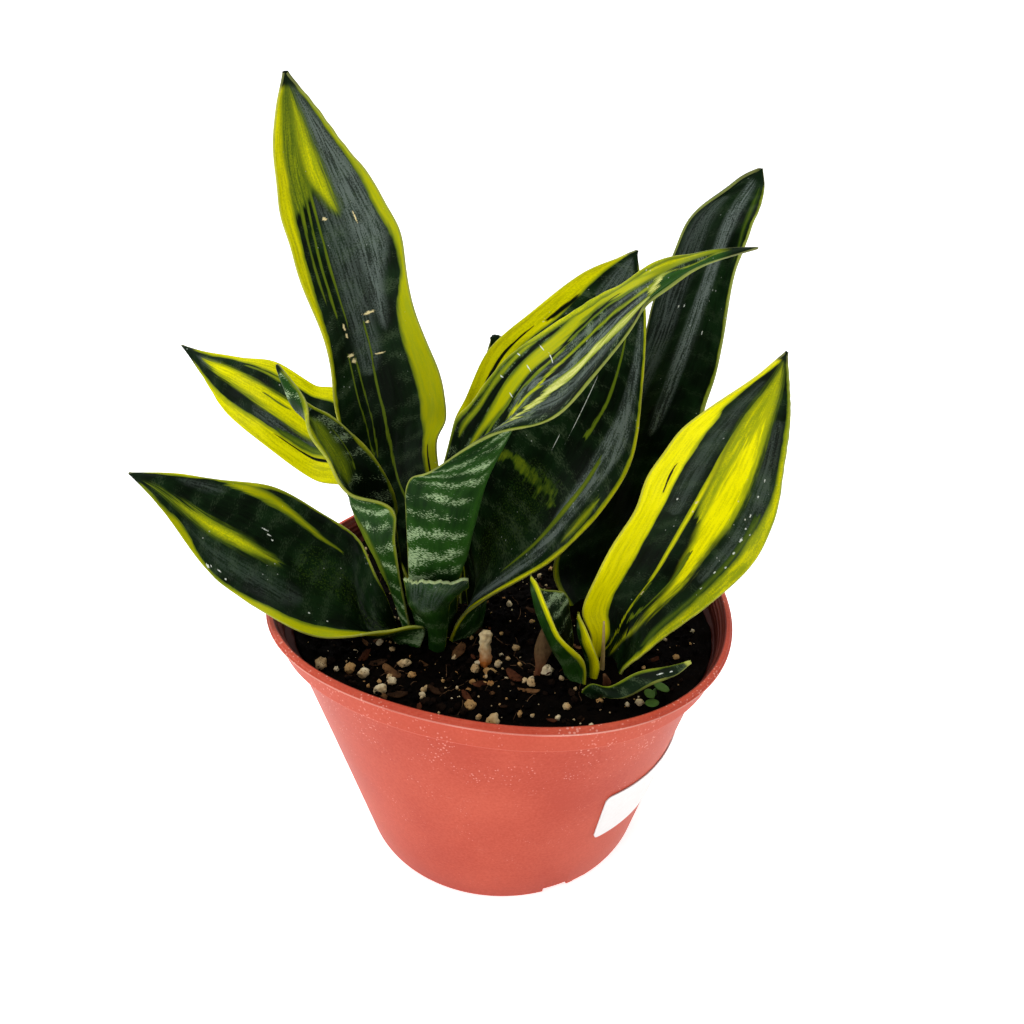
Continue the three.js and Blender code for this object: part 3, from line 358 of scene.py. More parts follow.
        # On the outer face, the fold band is painted shade: plain green over the silver bands on
        # the shaded side.
        outer_bands=[("fold", 5, [(0, 0.42, 0.6), (0.3, 0.4, 0.6), (0.62, 0.38, 0.6)])],
        white_scars=[(0.7, 0.595, 2.4, 0.16), (0.85, 0.59, 1.8, 0.16), (0.78, 0.552, 1.6, 0.16),
            (0.75, 0.5, 1.2, 0.15), (0.95, 0.555, 0.6, 0.2), (0.93, 0.51, 0.6, 0.2)]),
    "leaf_broad": dict(
        inner="back", silver=(0.06, 0.4), tip=("horn", 3),
        first=("yellow", [(0, 0.02), (0.3, 0.03), (0.4, 0.08), (0.5, 0.12), (0.6, 0.155),
            (0.7, 0.195), (0.85, 0.19), (0.92, 0.17), (1, 0.4)]),
        second=("yellow", [(0, 0.99), (0.1, 0.975), (0.2, 0.96), (0.3, 0.965), (0.4, 0.975),
            (0.6, 0.977), (0.75, 0.965), (0.9, 0.93), (1, 0.6)]),
        bands=[
            ("dark", 0.3, [(0.35, 0.03, 0.05), (0.45, 0.06, 0.075), (0.52, 0.07, 0.09),
                (0.58, 0.085, 0.1), (0.62, 0.1, 0.105)]),
            ("dark", 0.8, [(0.64, 0.13, 0.15), (0.68, 0.14, 0.18), (0.72, 0.17, 0.2)]),
            ("line", 0.3, [(0.28, 0.812, 0.825), (0.35, 0.808, 0.834), (0.4, 0.812, 0.845),
                (0.45, 0.824, 0.85), (0.51, 0.84, 0.85)]),
            ("scorch", 0.4, [(0, 0.95, 1.05), (0.06, 0.96, 1.05), (0.1, 0.975, 1.05)]),
            ("cream", 0.4, [(0.13, 0.98, 1.05), (0.2, 0.985, 1.05), (0.26, 0.99, 1.05)]),
            ("line", 0.3, [(0.5, 0.695, 0.705), (0.55, 0.717, 0.733), (0.6, 0.73, 0.75),
                (0.7, 0.733, 0.75), (0.75, 0.74, 0.745)]),
            ("mottle", 5, [(0.1, 0.45, 0.7), (0.25, 0.4, 0.75), (0.4, 0.45, 0.7)]),
            ("lime", 1.6, [(0.38, 0.935, 0.955), (0.42, 0.925, 0.965), (0.46, 0.94, 0.96)])],
        bars=[("olive", 0.9, [(0.24, 0.355, 0.37), (0.3, 0.36, 0.385), (0.38, 0.368, 0.395),
            (0.5, 0.375, 0.4), (0.65, 0.378, 0.405), (0.8, 0.385, 0.4)])],
        painted_sheen=[
            (0.9, 1.8, [(0.12, 0.84, 0.92), (0.25, 0.85, 0.94), (0.3, 0.86, 0.93),
                (0.35, 0.83, 0.91), (0.4, 0.8, 0.89), (0.5, 0.8, 0.91), (0.6, 0.83, 0.94),
                (0.68, 0.86, 0.94), (0.75, 0.9, 0.95)]),
            (0.45, 2, [(0.75, 0.3, 0.6), (0.85, 0.3, 0.7), (0.93, 0.4, 0.6)])],
        white_scars=[(0.622, 0.545, 0.12, 8), (0.57, 0.46, 0.12, 2)]),
    "leaf_stub_front": dict(
        inner="front", silver=(0.15, 0.15), tip=("torn", 0.45),
        first=("cream", [(0, 0.01), (1, 0.02)]),
        second=("cream", [(0, 0.99), (1, 0.97)]),
        outer_painted_sheen=[(0.42, 3, [(0.62, 0.25, 0.6), (0.8, 0.1, 0.8), (1, 0.1, 0.9)])]),
    "leaf_young_back": dict(
        inner="back", silver=(0.2, 0.5), tip=("horn", 3),
        first=("lime", [(0, 0.05), (1, 0.1)]),
        second=("lime", [(0, 0.95), (1, 0.9)])),
    "leaf_back_plant": dict(
        inner="back", silver=(0.02, 0.3), tip=("horn", 5),
        first=("gold", [(0, 0.06), (0.12, 0.04), (0.2, 0.0), (1, 0.0)]),
        second=("cream", [(0, 0.99), (0.3, 0.985), (0.45, 0.98), (0.55, 0.987), (0.8, 0.98),
            (0.9, 0.96), (1, 0.9)]),
        bands=[("olive", 1.0, [(0.64, 0.94, 0.96), (0.7, 0.9, 0.945), (0.78, 0.875, 0.93),
            (0.86, 0.87, 0.9)])],
        painted_sheen=[
            (1.0, 2.6, [(0.33, 0.57, 0.65), (0.4, 0.54, 0.68), (0.5, 0.5, 0.67), (0.6, 0.54, 0.74),
                (0.7, 0.57, 0.77), (0.8, 0.6, 0.79), (0.87, 0.57, 0.75), (0.93, 0.52, 0.63)]),
            (0.5, 4, [(0.35, 0.05, 0.3), (0.6, 0.05, 0.35), (0.8, 0.1, 0.4)])],
        white_scars=[(0.31, 0.56, 0.3, 0.5), (0.39, 0.555, 0.4, 0.6), (0.75, 0.5, 0.2, 0.6)]),
    "pup_leaf_large": dict(
        inner="back", silver=(0.03, 0.4), tip=("horn", 3),
        first=("bright", [(0, 0.15), (0.1, 0.2), (0.2, 0.24), (0.4, 0.225), (0.6, 0.22),
            (0.7, 0.2), (0.74, 0.18), (0.78, 0.12), (0.85, 0.11), (0.9, 0.15), (0.95, 0.3),
            (1, 0.5)]),
        second=("lime", [(0, 0.97), (0.1, 0.96), (0.2, 0.94), (0.3, 0.92), (0.4, 0.91),
            (0.5, 0.905), (0.55, 0.92), (0.6, 0.935), (0.7, 0.95), (0.8, 0.955), (0.9, 0.93),
            (0.95, 0.85), (1, 0.6)]),
        bands=[
            ("bright", 0.35, [(0.05, 0.17, 0.2), (0.1, 0.235, 0.265), (0.15, 0.32, 0.345),
                (0.2, 0.42, 0.445), (0.25, 0.475, 0.5), (0.3, 0.485, 0.512), (0.35, 0.462, 0.492),
                (0.4, 0.448, 0.487), (0.5, 0.438, 0.482), (0.55, 0.438, 0.5), (0.6, 0.44, 0.52),
                (0.66, 0.43, 0.53), (0.74, 0.43, 0.49), (0.82, 0.44, 0.47)]),
            ("lime", 2.4, [(0.5, 0.5, 0.76), (0.6, 0.46, 0.78), (0.7, 0.43, 0.79),
                (0.84, 0.42, 0.82), (0.9, 0.44, 0.82), (0.95, 0.45, 0.7)]),
            ("bright", 3.0, [(0.08, 0.41, 0.45), (0.12, 0.475, 0.5), (0.16, 0.565, 0.615),
                (0.2, 0.655, 0.71), (0.25, 0.705, 0.75), (0.3, 0.7, 0.757), (0.35, 0.67, 0.757),
                (0.4, 0.625, 0.745), (0.45, 0.59, 0.74), (0.5, 0.555, 0.755), (0.6, 0.545, 0.765),
                (0.66, 0.55, 0.76), (0.72, 0.6, 0.74), (0.78, 0.63, 0.72), (0.84, 0.65, 0.69)]),
            ("line", 0.3, [(0.2, 0.52, 0.53), (0.28, 0.64, 0.655), (0.36, 0.645, 0.665),
                (0.42, 0.62, 0.64)]),
            ("olive", 1.0, [(0.2, 0.9, 0.94), (0.3, 0.87, 0.92), (0.5, 0.87, 0.91),
                (0.56, 0.89, 0.92)]),
            ("dark", 0.3, [(0.54, 0.155, 0.165), (0.57, 0.14, 0.16), (0.6, 0.14, 0.145)]),
            ("scorch", 0.3, [(0.27, 0.495, 0.515), (0.3, 0.495, 0.52), (0.33, 0.49, 0.505)])],
        painted_sheen=[
            (0.3, 3, [(0.4, 0.8, 0.88), (0.6, 0.8, 0.93), (0.75, 0.82, 0.93)]),
            (0.25, 3, [(0.5, 0.26, 0.4), (0.7, 0.24, 0.38), (0.85, 0.2, 0.36)])],
        scars=[(0.46, 0.522, 0.5, 0.4), (0.47, 0.5, 0.3, 0.3), (0.505, 0.3, 0.3, 0.8)],
        white_scars=[(0.87, 0.5, 0.35, 0.5), (0.86, 0.525, 0.25, 0.3), (0.88, 0.47, 0.3, 0.4),
            (0.9, 0.44, 0.25, 0.3), (0.85, 0.555, 0.25, 0.5), (0.87, 0.42, 0.2, 0.3),
            (0.85, 0.6, 0.25, 0.4), (0.88, 0.38, 0.2, 0.3), (0.83, 0.54, 0.2, 0.3),
            (0.9, 0.52, 0.2, 0.3), (0.86, 0.64, 0.2, 0.4), (0.3, 0.52, 0.3, 0.3)]),
    "pup_leaf_folded": dict(
        inner="back", silver=(0.6, 0.1), tip=("horn", 1.5),
        first=("bright", [(0, 0.04), (0.3, 0.06), (0.6, 0.09), (0.8, 0.12), (1, 0.3)]),
        second=("lime", [(0, 0.99), (0.6, 0.985), (1, 0.9)]),
        bands=[("mottle", 3, [(0, 0.1, 0.5), (0.5, 0.1, 0.5)])]),
    "pup_leaf_low": dict(
        inner="back", silver=(0.08, 0.1), tip=("cream", 2),
        first=("lime", [(0, 0.08), (0.5, 0.12), (0.85, 0.15), (1, 0.4)]),
        second=("lime", [(0, 0.97), (1, 0.9)]),
        white_scars=[(0.4, 0.72, 0.2, 0.9), (0.5, 0.8, 0.2, 0.5)]),
    "pup_leaf_inner": dict(
        inner="back", silver=(0.2, 0.2), tip=("lime", 2),
        first=("bright", [(0, 0.25), (0.4, 0.35), (0.8, 0.35), (1, 0.5)]),
        second=("lime", [(0, 0.97), (1, 0.9)])),
}

DRY_LEAF = dict(thick=0.9, edge=0.7, stations=[
    9, -39, 82, 9.6, -39, 82, 10.4, -39, 82,
    10, -36, 87, 11, -36.5, 87.5, 12, -36, 87,
    9.5, -32, 91, 12.5, -33, 92, 15.5, -32, 91.5,
    12, -29, 96, 14, -30, 97, 17, -29, 96,
    15, -26.5, 98.5, 15.5, -26.8, 98.6, 16, -26.5, 98.5])
PEG = [(-5.3, -31.5, 81), (-5.2, -31, 86), (-5.6, -29.5, 90), (-5.3, -28, 93), (-5.6, -27, 95)]
PEG_RADII = [1.7, 2.0, 1.7, 1.8, 1.9]
BRACT = [(32, -39.5, 82.2), (31.6, -40.5, 85.5), (30.5, -42, 89.5)]
SPIKE = [(31, -33, 82.2), (30.9, -33.2, 92), (30.5, -33.6, 103)]
SEEDLING_STEM = [(45.4, -45.6, 82), (45.6, -46.2, 85.5), (45.2, -46.8, 88)]
SEEDLING_LEAVES = [  # centre, length, width, turn in degrees
    ((46.8, -47.3, 89.2), 5.6, 3.2, -50),
    ((43, -49.8, 88.8), 4.2, 3.2, 100),
    ((43.3, -52.9, 88), 4.2, 3.4, 15),
]

# Perlite and bark that stand out in the picture: x, y and size in mm.
BIG_PERLITE = [
    (-56.3, -32.2, 2.6), (-47.3, -34.2, 2.4), (-42.5, -37, 2.1), (-30.7, -32.8, 2.4),
    (-27.8, -37.6, 1.8), (-33.7, -39.9, 1.7), (-8.6, -34.4, 1.9), (-4, -35.5, 2.3),
    (13.6, -36.4, 2.3), (-3.1, -58.1, 2.6), (-9.6, -51, 2.2),
    (-36.7, -44.4, 2.2), (8.5, -42, 1.6), (28.6, -49.2, 1.3), (40.4, -49.2, 1.6),
    (18.6, -52, 1.5), (5, -54, 1.2), (-1.5, -33, 1.5), (14, -1, 1.8), (19.5, -6, 1.5),
]
BIG_CHIPS = [  # x, y, length in mm, turn in degrees
    (-38.9, -32.3, 6, 20), (-34.1, -36.1, 7, -30), (-43.5, -27.9, 6, 60), (10.3, -4.7, 5, -20),
    (5.7, -44.6, 3.5, 10), (-7, -42, 6, 40), (-20, -44, 6, -20), (-14, -27, 7, 70),
    (3.5, -38, 7, -50), (-31, -47, 6, 15),
]

# ------------------------------------------------------------------ the fitted camera

IMAGE_SIDE = 1024  # px
FOCAL_PX = 850.0
SENSOR = 36.0  # mm
CAMERA_DISTANCE = 310.68  # mm, from the point on the axis that it was fitted round
CAMERA_HEIGHT_POINT = 60.0
CAMERA_ELEVATION = math.radians(39.374)
CAMERA_PAN = math.radians(0.655)
CAMERA_TILT = math.radians(10.015)
CAMERA_ROLL = math.radians(-0.2345)


# ------------------------------------------------------------------ helpers

def linear(hex_colour):
    """Linear RGB from an sRGB hex colour."""
    parts = [int(hex_colour[i:i + 2], 16) / 255 for i in (0, 2, 4)]
    return tuple(c / 12.92 if c <= 0.04045 else ((c + 0.055) / 1.055) ** 2.4 for c in parts)


def two_tone(tree, where, scale, detail, main, other):
    """Fine noise, and the shade it makes of one colour with another in its patches."""
    grain = add(tree, "TexNoise", {"Vector": where, "Scale": scale, "Detail": detail})
    return grain, add(tree, "Mix", [grain, linear(main), linear(other)], data_type="RGBA")


def place(points):
    """Points in mm from the pot's axis to the frame, in metres."""
    return np.asarray(points, float) * MM + np.array(AXIS)


def fill(tree, node, inputs):
    """Fills a node's inputs, in order or by name, with values, other nodes or their sockets."""
    sockets = [socket for socket in node.inputs if socket.enabled]
    if isinstance(inputs, dict):
        by_name = {socket.name: socket for socket in reversed(sockets)}
        pairs = [(by_name[key], value) for key, value in inputs.items()]
    else:
        pairs = zip(sockets, inputs)
    for socket, value in pairs:
        if isinstance(value, bpy.types.Node):
            value = next(output for output in value.outputs if output.enabled)
        if isinstance(value, bpy.types.NodeSocket):
            tree.links.new(value, socket)
        elif socket.type == "RGBA":
            socket.default_value = (*value, 1)
        else:
            socket.default_value = value


def add(tree, kind, inputs=(), curve=(), **settings):
    """Adds a shader node with its settings and inputs. A curve node takes its line from (x, y)
    points."""
    made = tree.nodes.new("ShaderNode" + kind)
    for field, value in settings.items():
        setattr(made, field, value)
    fill(tree, made, inputs)
    if curve:
        points = made.mapping.curves[0].points
        while len(points) < len(curve):
            points.new(0.5, 0.5)
        for point, place_on_line in zip(points, sorted(curve)):
            point.location = place_on_line
            point.handle_type = "AUTO_CLAMPED"
        made.mapping.update()
    return made


def new_material(name, **shader_settings):
    """A material with one Principled shader. Returns it, its tree and the shader."""
    material = bpy.data.materials.new(name)
    material.use_nodes = True
    tree = material.node_tree
    shader = tree.nodes["Principled BSDF"]
    for key, value in shader_settings.items():
        shader.inputs[key.replace("_", " ")].default_value = value
    return material, tree, shader


def new_object(name, vertices, faces, materials, smooth=True, indices=None):
    """A mesh object from points in metres; it stands in the frame as it is."""
    mesh = bpy.data.meshes.new(name)
    mesh.from_pydata([tuple(v) for v in vertices], [], [tuple(f) for f in faces])
    for material in materials:
        mesh.materials.append(material)
    mesh.polygons.foreach_set("use_smooth", [smooth] * len(mesh.polygons))
    if indices is not None:
        mesh.polygons.foreach_set("material_index", indices)
    mesh.update()
    made = bpy.data.objects.new(name, mesh)
    bpy.context.scene.collection.objects.link(made)
    return made


def set_uv(made, name, values):
    """Stores one pair of numbers for each vertex as a UV map."""
    layer = made.data.uv_layers.new(name=name)
    corners = np.empty(len(made.data.loops), int)
    made.data.loops.foreach_get("vertex_index", corners)
    layer.data.foreach_set("uv", np.asarray(values, np.float32)[corners].ravel())


def settle(made, slot, *nodes):
    """The piece rides on the object's one body and stands for these solids."""
    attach(made, "root")
    if nodes:
        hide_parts(*nodes)


def piece(name, shape, materials, slot, *nodes, smooth=True, indices=None):
    """A whole piece from its shape: vertices in mm from the pot's axis, and faces."""
    vertices, faces = shape
    settle(new_object(name, place(vertices), faces, materials, smooth, indices), slot, *nodes)


def spline(points, at):
    """A Catmull-Rom line through points, at shares from 0 to 1."""
    count = len(points)
    points = np.concatenate([[2 * points[0] - points[1]], points, [2 * points[-1] - points[-2]]])
    x = np.clip(at, 0, 1) * (count - 1)
    i = np.minimum(x.astype(int), count - 2)
    f = (x - i)[:, None]
    before, start, end, after = points[i], points[i + 1], points[i + 2], points[i + 3]
    leave, arrive = (end - before) / 2, (after - start) / 2
    return ((2 * start - 2 * end + leave + arrive) * f ** 3
            + (3 * end - 3 * start - 2 * leave - arrive) * f ** 2 + leave * f + start)


def tube(path, radii, sides=10):
    """Vertices in mm and faces of a closed round bar along a path."""
    path = np.asarray(path, float)
    tangents = np.gradient(path, axis=0)
    tangents /= np.linalg.norm(tangents, axis=1)[:, None]
    side = np.cross(tangents[0], (0.3, 0.2, 1.0) if abs(tangents[0][2]) < 0.9 else (1.0, 0.2, 0))
    rings = []
    for centre, tangent, radius in zip(path, tangents, radii):
        side = side - tangent * (side @ tangent)
        side /= np.linalg.norm(side)
        other = np.cross(tangent, side)
        turn = np.arange(sides) * 2 * math.pi / sides
        round_it = np.cos(turn)[:, None] * side + np.sin(turn)[:, None] * other
        rings.append(centre + radius * round_it)
    vertices = np.concatenate(rings)
    faces = [(r * sides + k, r * sides + (k + 1) % sides, (r + 1) * sides + (k + 1) % sides,
              (r + 1) * sides + k) for r in range(len(path) - 1) for k in range(sides)]
    faces.append(tuple(range(sides - 1, -1, -1)))
    faces.append(tuple(range((len(path) - 1) * sides, len(path) * sides)))
    return vertices, faces


def joined(parts):
    """Several (vertices, faces) as one."""
    vertices, faces, start = [], [], 0
    for points, polygons in parts:
        vertices.append(points)
        faces.extend(tuple(start + k for k in polygon) for polygon in polygons)
        start += len(points)
    return np.concatenate(vertices), faces


def bend(points):
    """Moves points of the round pot to the slightly bent one, in mm."""
    x, y, z = np.asarray(points, float).T
    share = z / POT_HEIGHT
    angle = np.arctan2(y, x)
    stretch = (1 + OVAL_SHARE * share * np.cos(2 * (angle - OVAL_ANGLE))
               + LOBE_SHARE * share * np.cos(3 * (angle - LOBE_ANGLE)))
    lift = WAVE_HEIGHT * share * np.cos(2 * (angle - WAVE_ANGLE))
    return np.stack([x * stretch, y * stretch, z + lift], axis=-1)


def wall_radius(height):
    return FOOT_RADIUS + (SHOULDER_RADIUS - FOOT_RADIUS) * height / SHOULDER_HEIGHT


def column_faces(columns, rows):
    """Faces of a closed body: columns of points round it, from its point 0 to its point 1."""
    faces = []
    for column in range(columns):
        here, beside = 2 + column * rows, 2 + ((column + 1) % columns) * rows
        faces.append((0, beside, here))
        faces.append((1, here + rows - 1, beside + rows - 1))
        faces.extend((here + k, beside + k, beside + k + 1, here + k + 1) for k in range(rows - 1))
    return faces


def turned(profile, segments=288):
    """A closed body turned from a profile that starts and ends on the axis, in mm."""
    angles = np.arange(segments) * 2 * math.pi / segments
    ring = profile[1:-1]
    vertices = [(0, 0, profile[0][1]), (0, 0, profile[-1][1])]
    for angle in angles:
        vertices.extend((r * math.cos(angle), r * math.sin(angle), z) for r, z in ring)
    return np.array(vertices, float), column_faces(segments, len(ring))


def rounded(corners, steps=4):
    """A profile from (radius, height, rounding) corners: each rounding becomes a short curve."""
    line = []
    for i, (x, y, size) in enumerate(corners):
        here = np.array((x, y), float)
        if size == 0 or i in (0, len(corners) - 1):
            line.append(tuple(here))
            continue
        before = np.array(corners[i - 1][:2], float) - here
        after = np.array(corners[i + 1][:2], float) - here
        start = here + before * min(size / np.linalg.norm(before), 0.45)
        end = here + after * min(size / np.linalg.norm(after), 0.45)
        for k in range(steps + 1):
            f = k / steps
            line.append(tuple(start * (1 - f) ** 2 + 2 * here * f * (1 - f) + end * f ** 2))
    return line


# ------------------------------------------------------------------ leaf blades

class Blade:
    """A fine closed blade lofted through a leaf's stations, with its own measures."""

    def __init__(self, leaf, rows=150, columns=45):
        stations = np.reshape(leaf["stations"], (-1, 3, 3)).astype(float)
        self.lines = [stations[:, k] for k in range(3)]
        self.leaf = leaf
        start = self.foot_share()
        self.s = start + (1 - start) * (1 - (1 - np.linspace(0, 1, rows)) ** 1.25)
        self.t = np.sin(np.linspace(-1, 1, columns) * math.pi / 2)  # closer at the margins
        self.build()

    def sheet(self, s, t):
        left, rib, right = (spline(line, s)[:, None, :] for line in self.lines)
        t = t[None, :, None]
        return rib + (right - left) / 2 * t + ((left + right) / 2 - rib) * t * t

    def foot_share(self):
        """The share along the leaf where all of it is above the level of its foot."""
        shares = np.linspace(0, 0.3, 400)
        lowest = self.sheet(shares, np.linspace(-1, 1, 9))[..., 2].min(axis=1)
        above = np.nonzero(lowest >= LEAF_FOOT)[0]
        return float(shares[above[0]]) if len(above) and lowest[0] < LEAF_FOOT else 0.0

    def relief(self, points, normals, across, along):
        """Gentle ribs and a little flutter at the margins, as a growing leaf has."""
        share = self.t[None, :]
        ribs = RIB_HEIGHT * np.sin(across * 2 * math.pi / RIB_SPACING
                                   + 1.7 * np.sin(along / 23))
        flutter = FLUTTER_HEIGHT * np.abs(share) ** 3 * np.sin(
            along / FLUTTER_LENGTH + 2.2 * np.sign(share) + 1.3 * np.sin(along / 11))
        fade = np.clip((1 - self.s) / 0.12, 0, 1)[:, None] * np.clip(self.s / 0.15, 0, 1)[:, None]
        return points + normals * ((ribs + flutter) * fade)[..., None]

    def build(self):
        s, t = self.s, self.t
        step = 0.004
        points = self.sheet(s, t)
        if self.leaf.get("torn"):
            ragged = [0.05 * noise.noise((7.3 * x, 2.2, 0.5)) + 0.035 * noise.noise((23 * x, 0, 9))
                      for x in t]
            for j, cut in enumerate(ragged):
                column = self.sheet(s * (0.95 + cut), t[j:j + 1])
                points[:, j] = column[:, 0]
        along_way = self.sheet(np.minimum(s + step, 1), t) - self.sheet(np.maximum(s - step, 0), t)
        across_way = self.sheet(s, t + step) - self.sheet(s, t - step)
        normals = np.cross(along_way, across_way)
        normals /= np.maximum(np.linalg.norm(normals, axis=2, keepdims=True), 1e-9)

        strips = np.linalg.norm(np.diff(points, axis=1), axis=2)
        across = np.concatenate([np.zeros((len(s), 1)), np.cumsum(strips, axis=1)], axis=1)
        width = across[:, -1:]
        middle = points[:, len(t) // 2]
        along = np.concatenate([[0], np.cumsum(np.linalg.norm(np.diff(middle, axis=0), axis=1))])
        along = np.repeat(along[:, None], len(t), axis=1)
        points = self.relief(points, normals, across, along)

        thick, edge = self.leaf["thick"], self.leaf["edge"]
        taper = 1 - BLADE_TAPER * s[:, None]
        depth = np.maximum(edge, (thick - (thick - edge) * t ** 2) * taper) / 2
        margin = np.clip(0.9 * edge / np.maximum(width, 0.5), 0.02, 0.6)
        inward = np.clip((np.abs(t) - (1 - margin)) / margin, 0, 1)
        depth = depth * np.sqrt(np.maximum(1 - inward ** 2, 0))

        front = points + normals * depth[..., None]
        back = (points - normals * depth[..., None])[:, -2:0:-1]
        ring = np.concatenate([front, back], axis=1)
        count = ring.shape[1]
        u = np.repeat((t[None, :] + 1) / 2, len(s), axis=0)
        measures = [np.concatenate([part, part[:, -2:0:-1]], axis=1).ravel()
                    for part in (u, across, width - across, along, along[-1] - along)]

        faces = [(i * count + k, (i + 1) * count + k, (i + 1) * count + (k + 1) % count,
                  i * count + (k + 1) % count) for i in range(len(s) - 1) for k in range(count)]
        indices = [0 if k < len(t) - 1 else 1 for _ in range(len(s) - 1) for k in range(count)]
        # The foot is closed by a strip between the two faces, and a torn end in the same way.
        ends = [(0, False)]
        if self.leaf.get("torn"):
            ends.append(((len(s) - 1) * count, True))
        for base, flip in ends:
            for j in range(len(t) - 1):
                ring_face = [j, j + 1, count - j - 1, (count - j) % count]
                face = list(dict.fromkeys(base + k for k in ring_face))
                faces.append(tuple(reversed(face)) if flip else tuple(face))
                indices.append(0)
        self.vertices = ring.reshape(-1, 3)
        self.faces, self.indices = faces, indices
        self.length = float(along[-1, 0])
        self.maps = {
            "blade": np.stack([measures[0], np.repeat(s, count)], -1),  # shares across and along
            "margins": np.stack(measures[1:3], -1) * MM,  # metres from each margin
            "run": np.stack(measures[3:5], -1) * MM,  # metres from the base and from the tip
        }

    def make(self, name, node, materials):
        low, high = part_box(node)
        inside = np.clip(place(self.vertices), np.array(low), np.array(high))
        made = new_object(name, inside, self.faces, materials, True, self.indices)
        for map_name, values in self.maps.items():
            set_uv(made, map_name, values)
        if not self.leaf.get("torn"):
            mesh = bmesh.new()
            mesh.from_mesh(made.data)
            bmesh.ops.remove_doubles(mesh, verts=mesh.verts, dist=MERGE_DISTANCE)
            mesh.to_mesh(made.data)
            mesh.free()
        return made


# ------------------------------------------------------------------ leaf material

VEINS = 46  # lines across a leaf, about 0.8 mm apart on the widest
STREAK = 9.0  # mm, how long a streak runs along the veins
FRAY = 3.5  # mm, how far the end of a stripe is drawn out along its veins
FRINGE = 1.3  # mm, from a stripe's edge to its full colour
BAND_ARCH = 8.0  # mm, times the squared share of the width from the midrib
BAND_TILT = 0.22  # mm along the leaf for each mm across it
BAND_SWAY = 7.0  # mm, times noise about 0
SEEDS = {name: 3.7 * k for k, name in enumerate(LEAVES)}
# The stripes' colours: one, the one it is streaked with, and its fringe.
TONES = {
    "bright": ("yellow_bright", "yellow", "lime"), "yellow": ("yellow", "gold", "lime_deep"),
    "gold": ("gold", "lime", "olive"), "lime": ("lime", "yellow", "olive"),
    "olive": ("olive", "lime_deep", "olive_deep"), "line": ("lime_deep", "lime", "olive"),
    "cream": ("cream", "lime", "lime_deep"), "mottle": ("green_light", "olive", "green_light"),
    "fold": ("outer_light", "outer", "outer_light"), "dark": ("green_deep", "green", "green_deep"),
    "scorch": ("scorch", "olive", "olive"), "haze": ("olive", "lime", "olive"),
    "torn": ("rim", "silver", "silver"), "horn": ("green", "green_deep", "green"),
}


def closed_off(rows):
    """A band's rows, with each end inside the leaf pinched shut just past the last row."""
    rows = list(rows)
    for end, step in ((0, -0.02), (-1, 0.02)):
        at, low, high = rows[end]
        if 0 < at < 1 and abs(high - low) < 1:
            middle = (low + high) / 2
            pinched = (at + step, min(middle + 0.07, 1), max(middle - 0.07, 0))
            rows.insert(0 if end == 0 else len(rows), pinched)
    return rows


def outside_band(tree, at, across, width, rows):
    """How far in mm a point lies outside a band; less than 0 within it."""
    rows = closed_off(rows)
    low = add(tree, "FloatCurve", {"Value": at}, curve=[(row[0], row[1]) for row in rows])
    high = add(tree, "FloatCurve", {"Value": at}, curve=[(row[0], row[2]) for row in rows])
    before = add(tree, "Math", [low, across], operation="SUBTRACT")
    after = add(tree, "Math", [across, high], operation="SUBTRACT")
    beyond = add(tree, "Math", [before, after], operation="MAXIMUM")
    return add(tree, "Math", [beyond, width], operation="MULTIPLY")


def soft_edge(tree, ragged, fray, outside, soft, strength=1.0):
    """How much of a marking shows: it fades over soft mm at its edge, frayed along the veins."""
    uneven = add(tree, "Math", [ragged, soft * fray, outside], operation="MULTIPLY_ADD")
    return uneven, add(tree, "MapRange", {"Value": uneven, "From Min": soft / 2,
                                          "From Max": -soft / 2, "To Max": strength},
                       interpolation_type="SMOOTHSTEP")


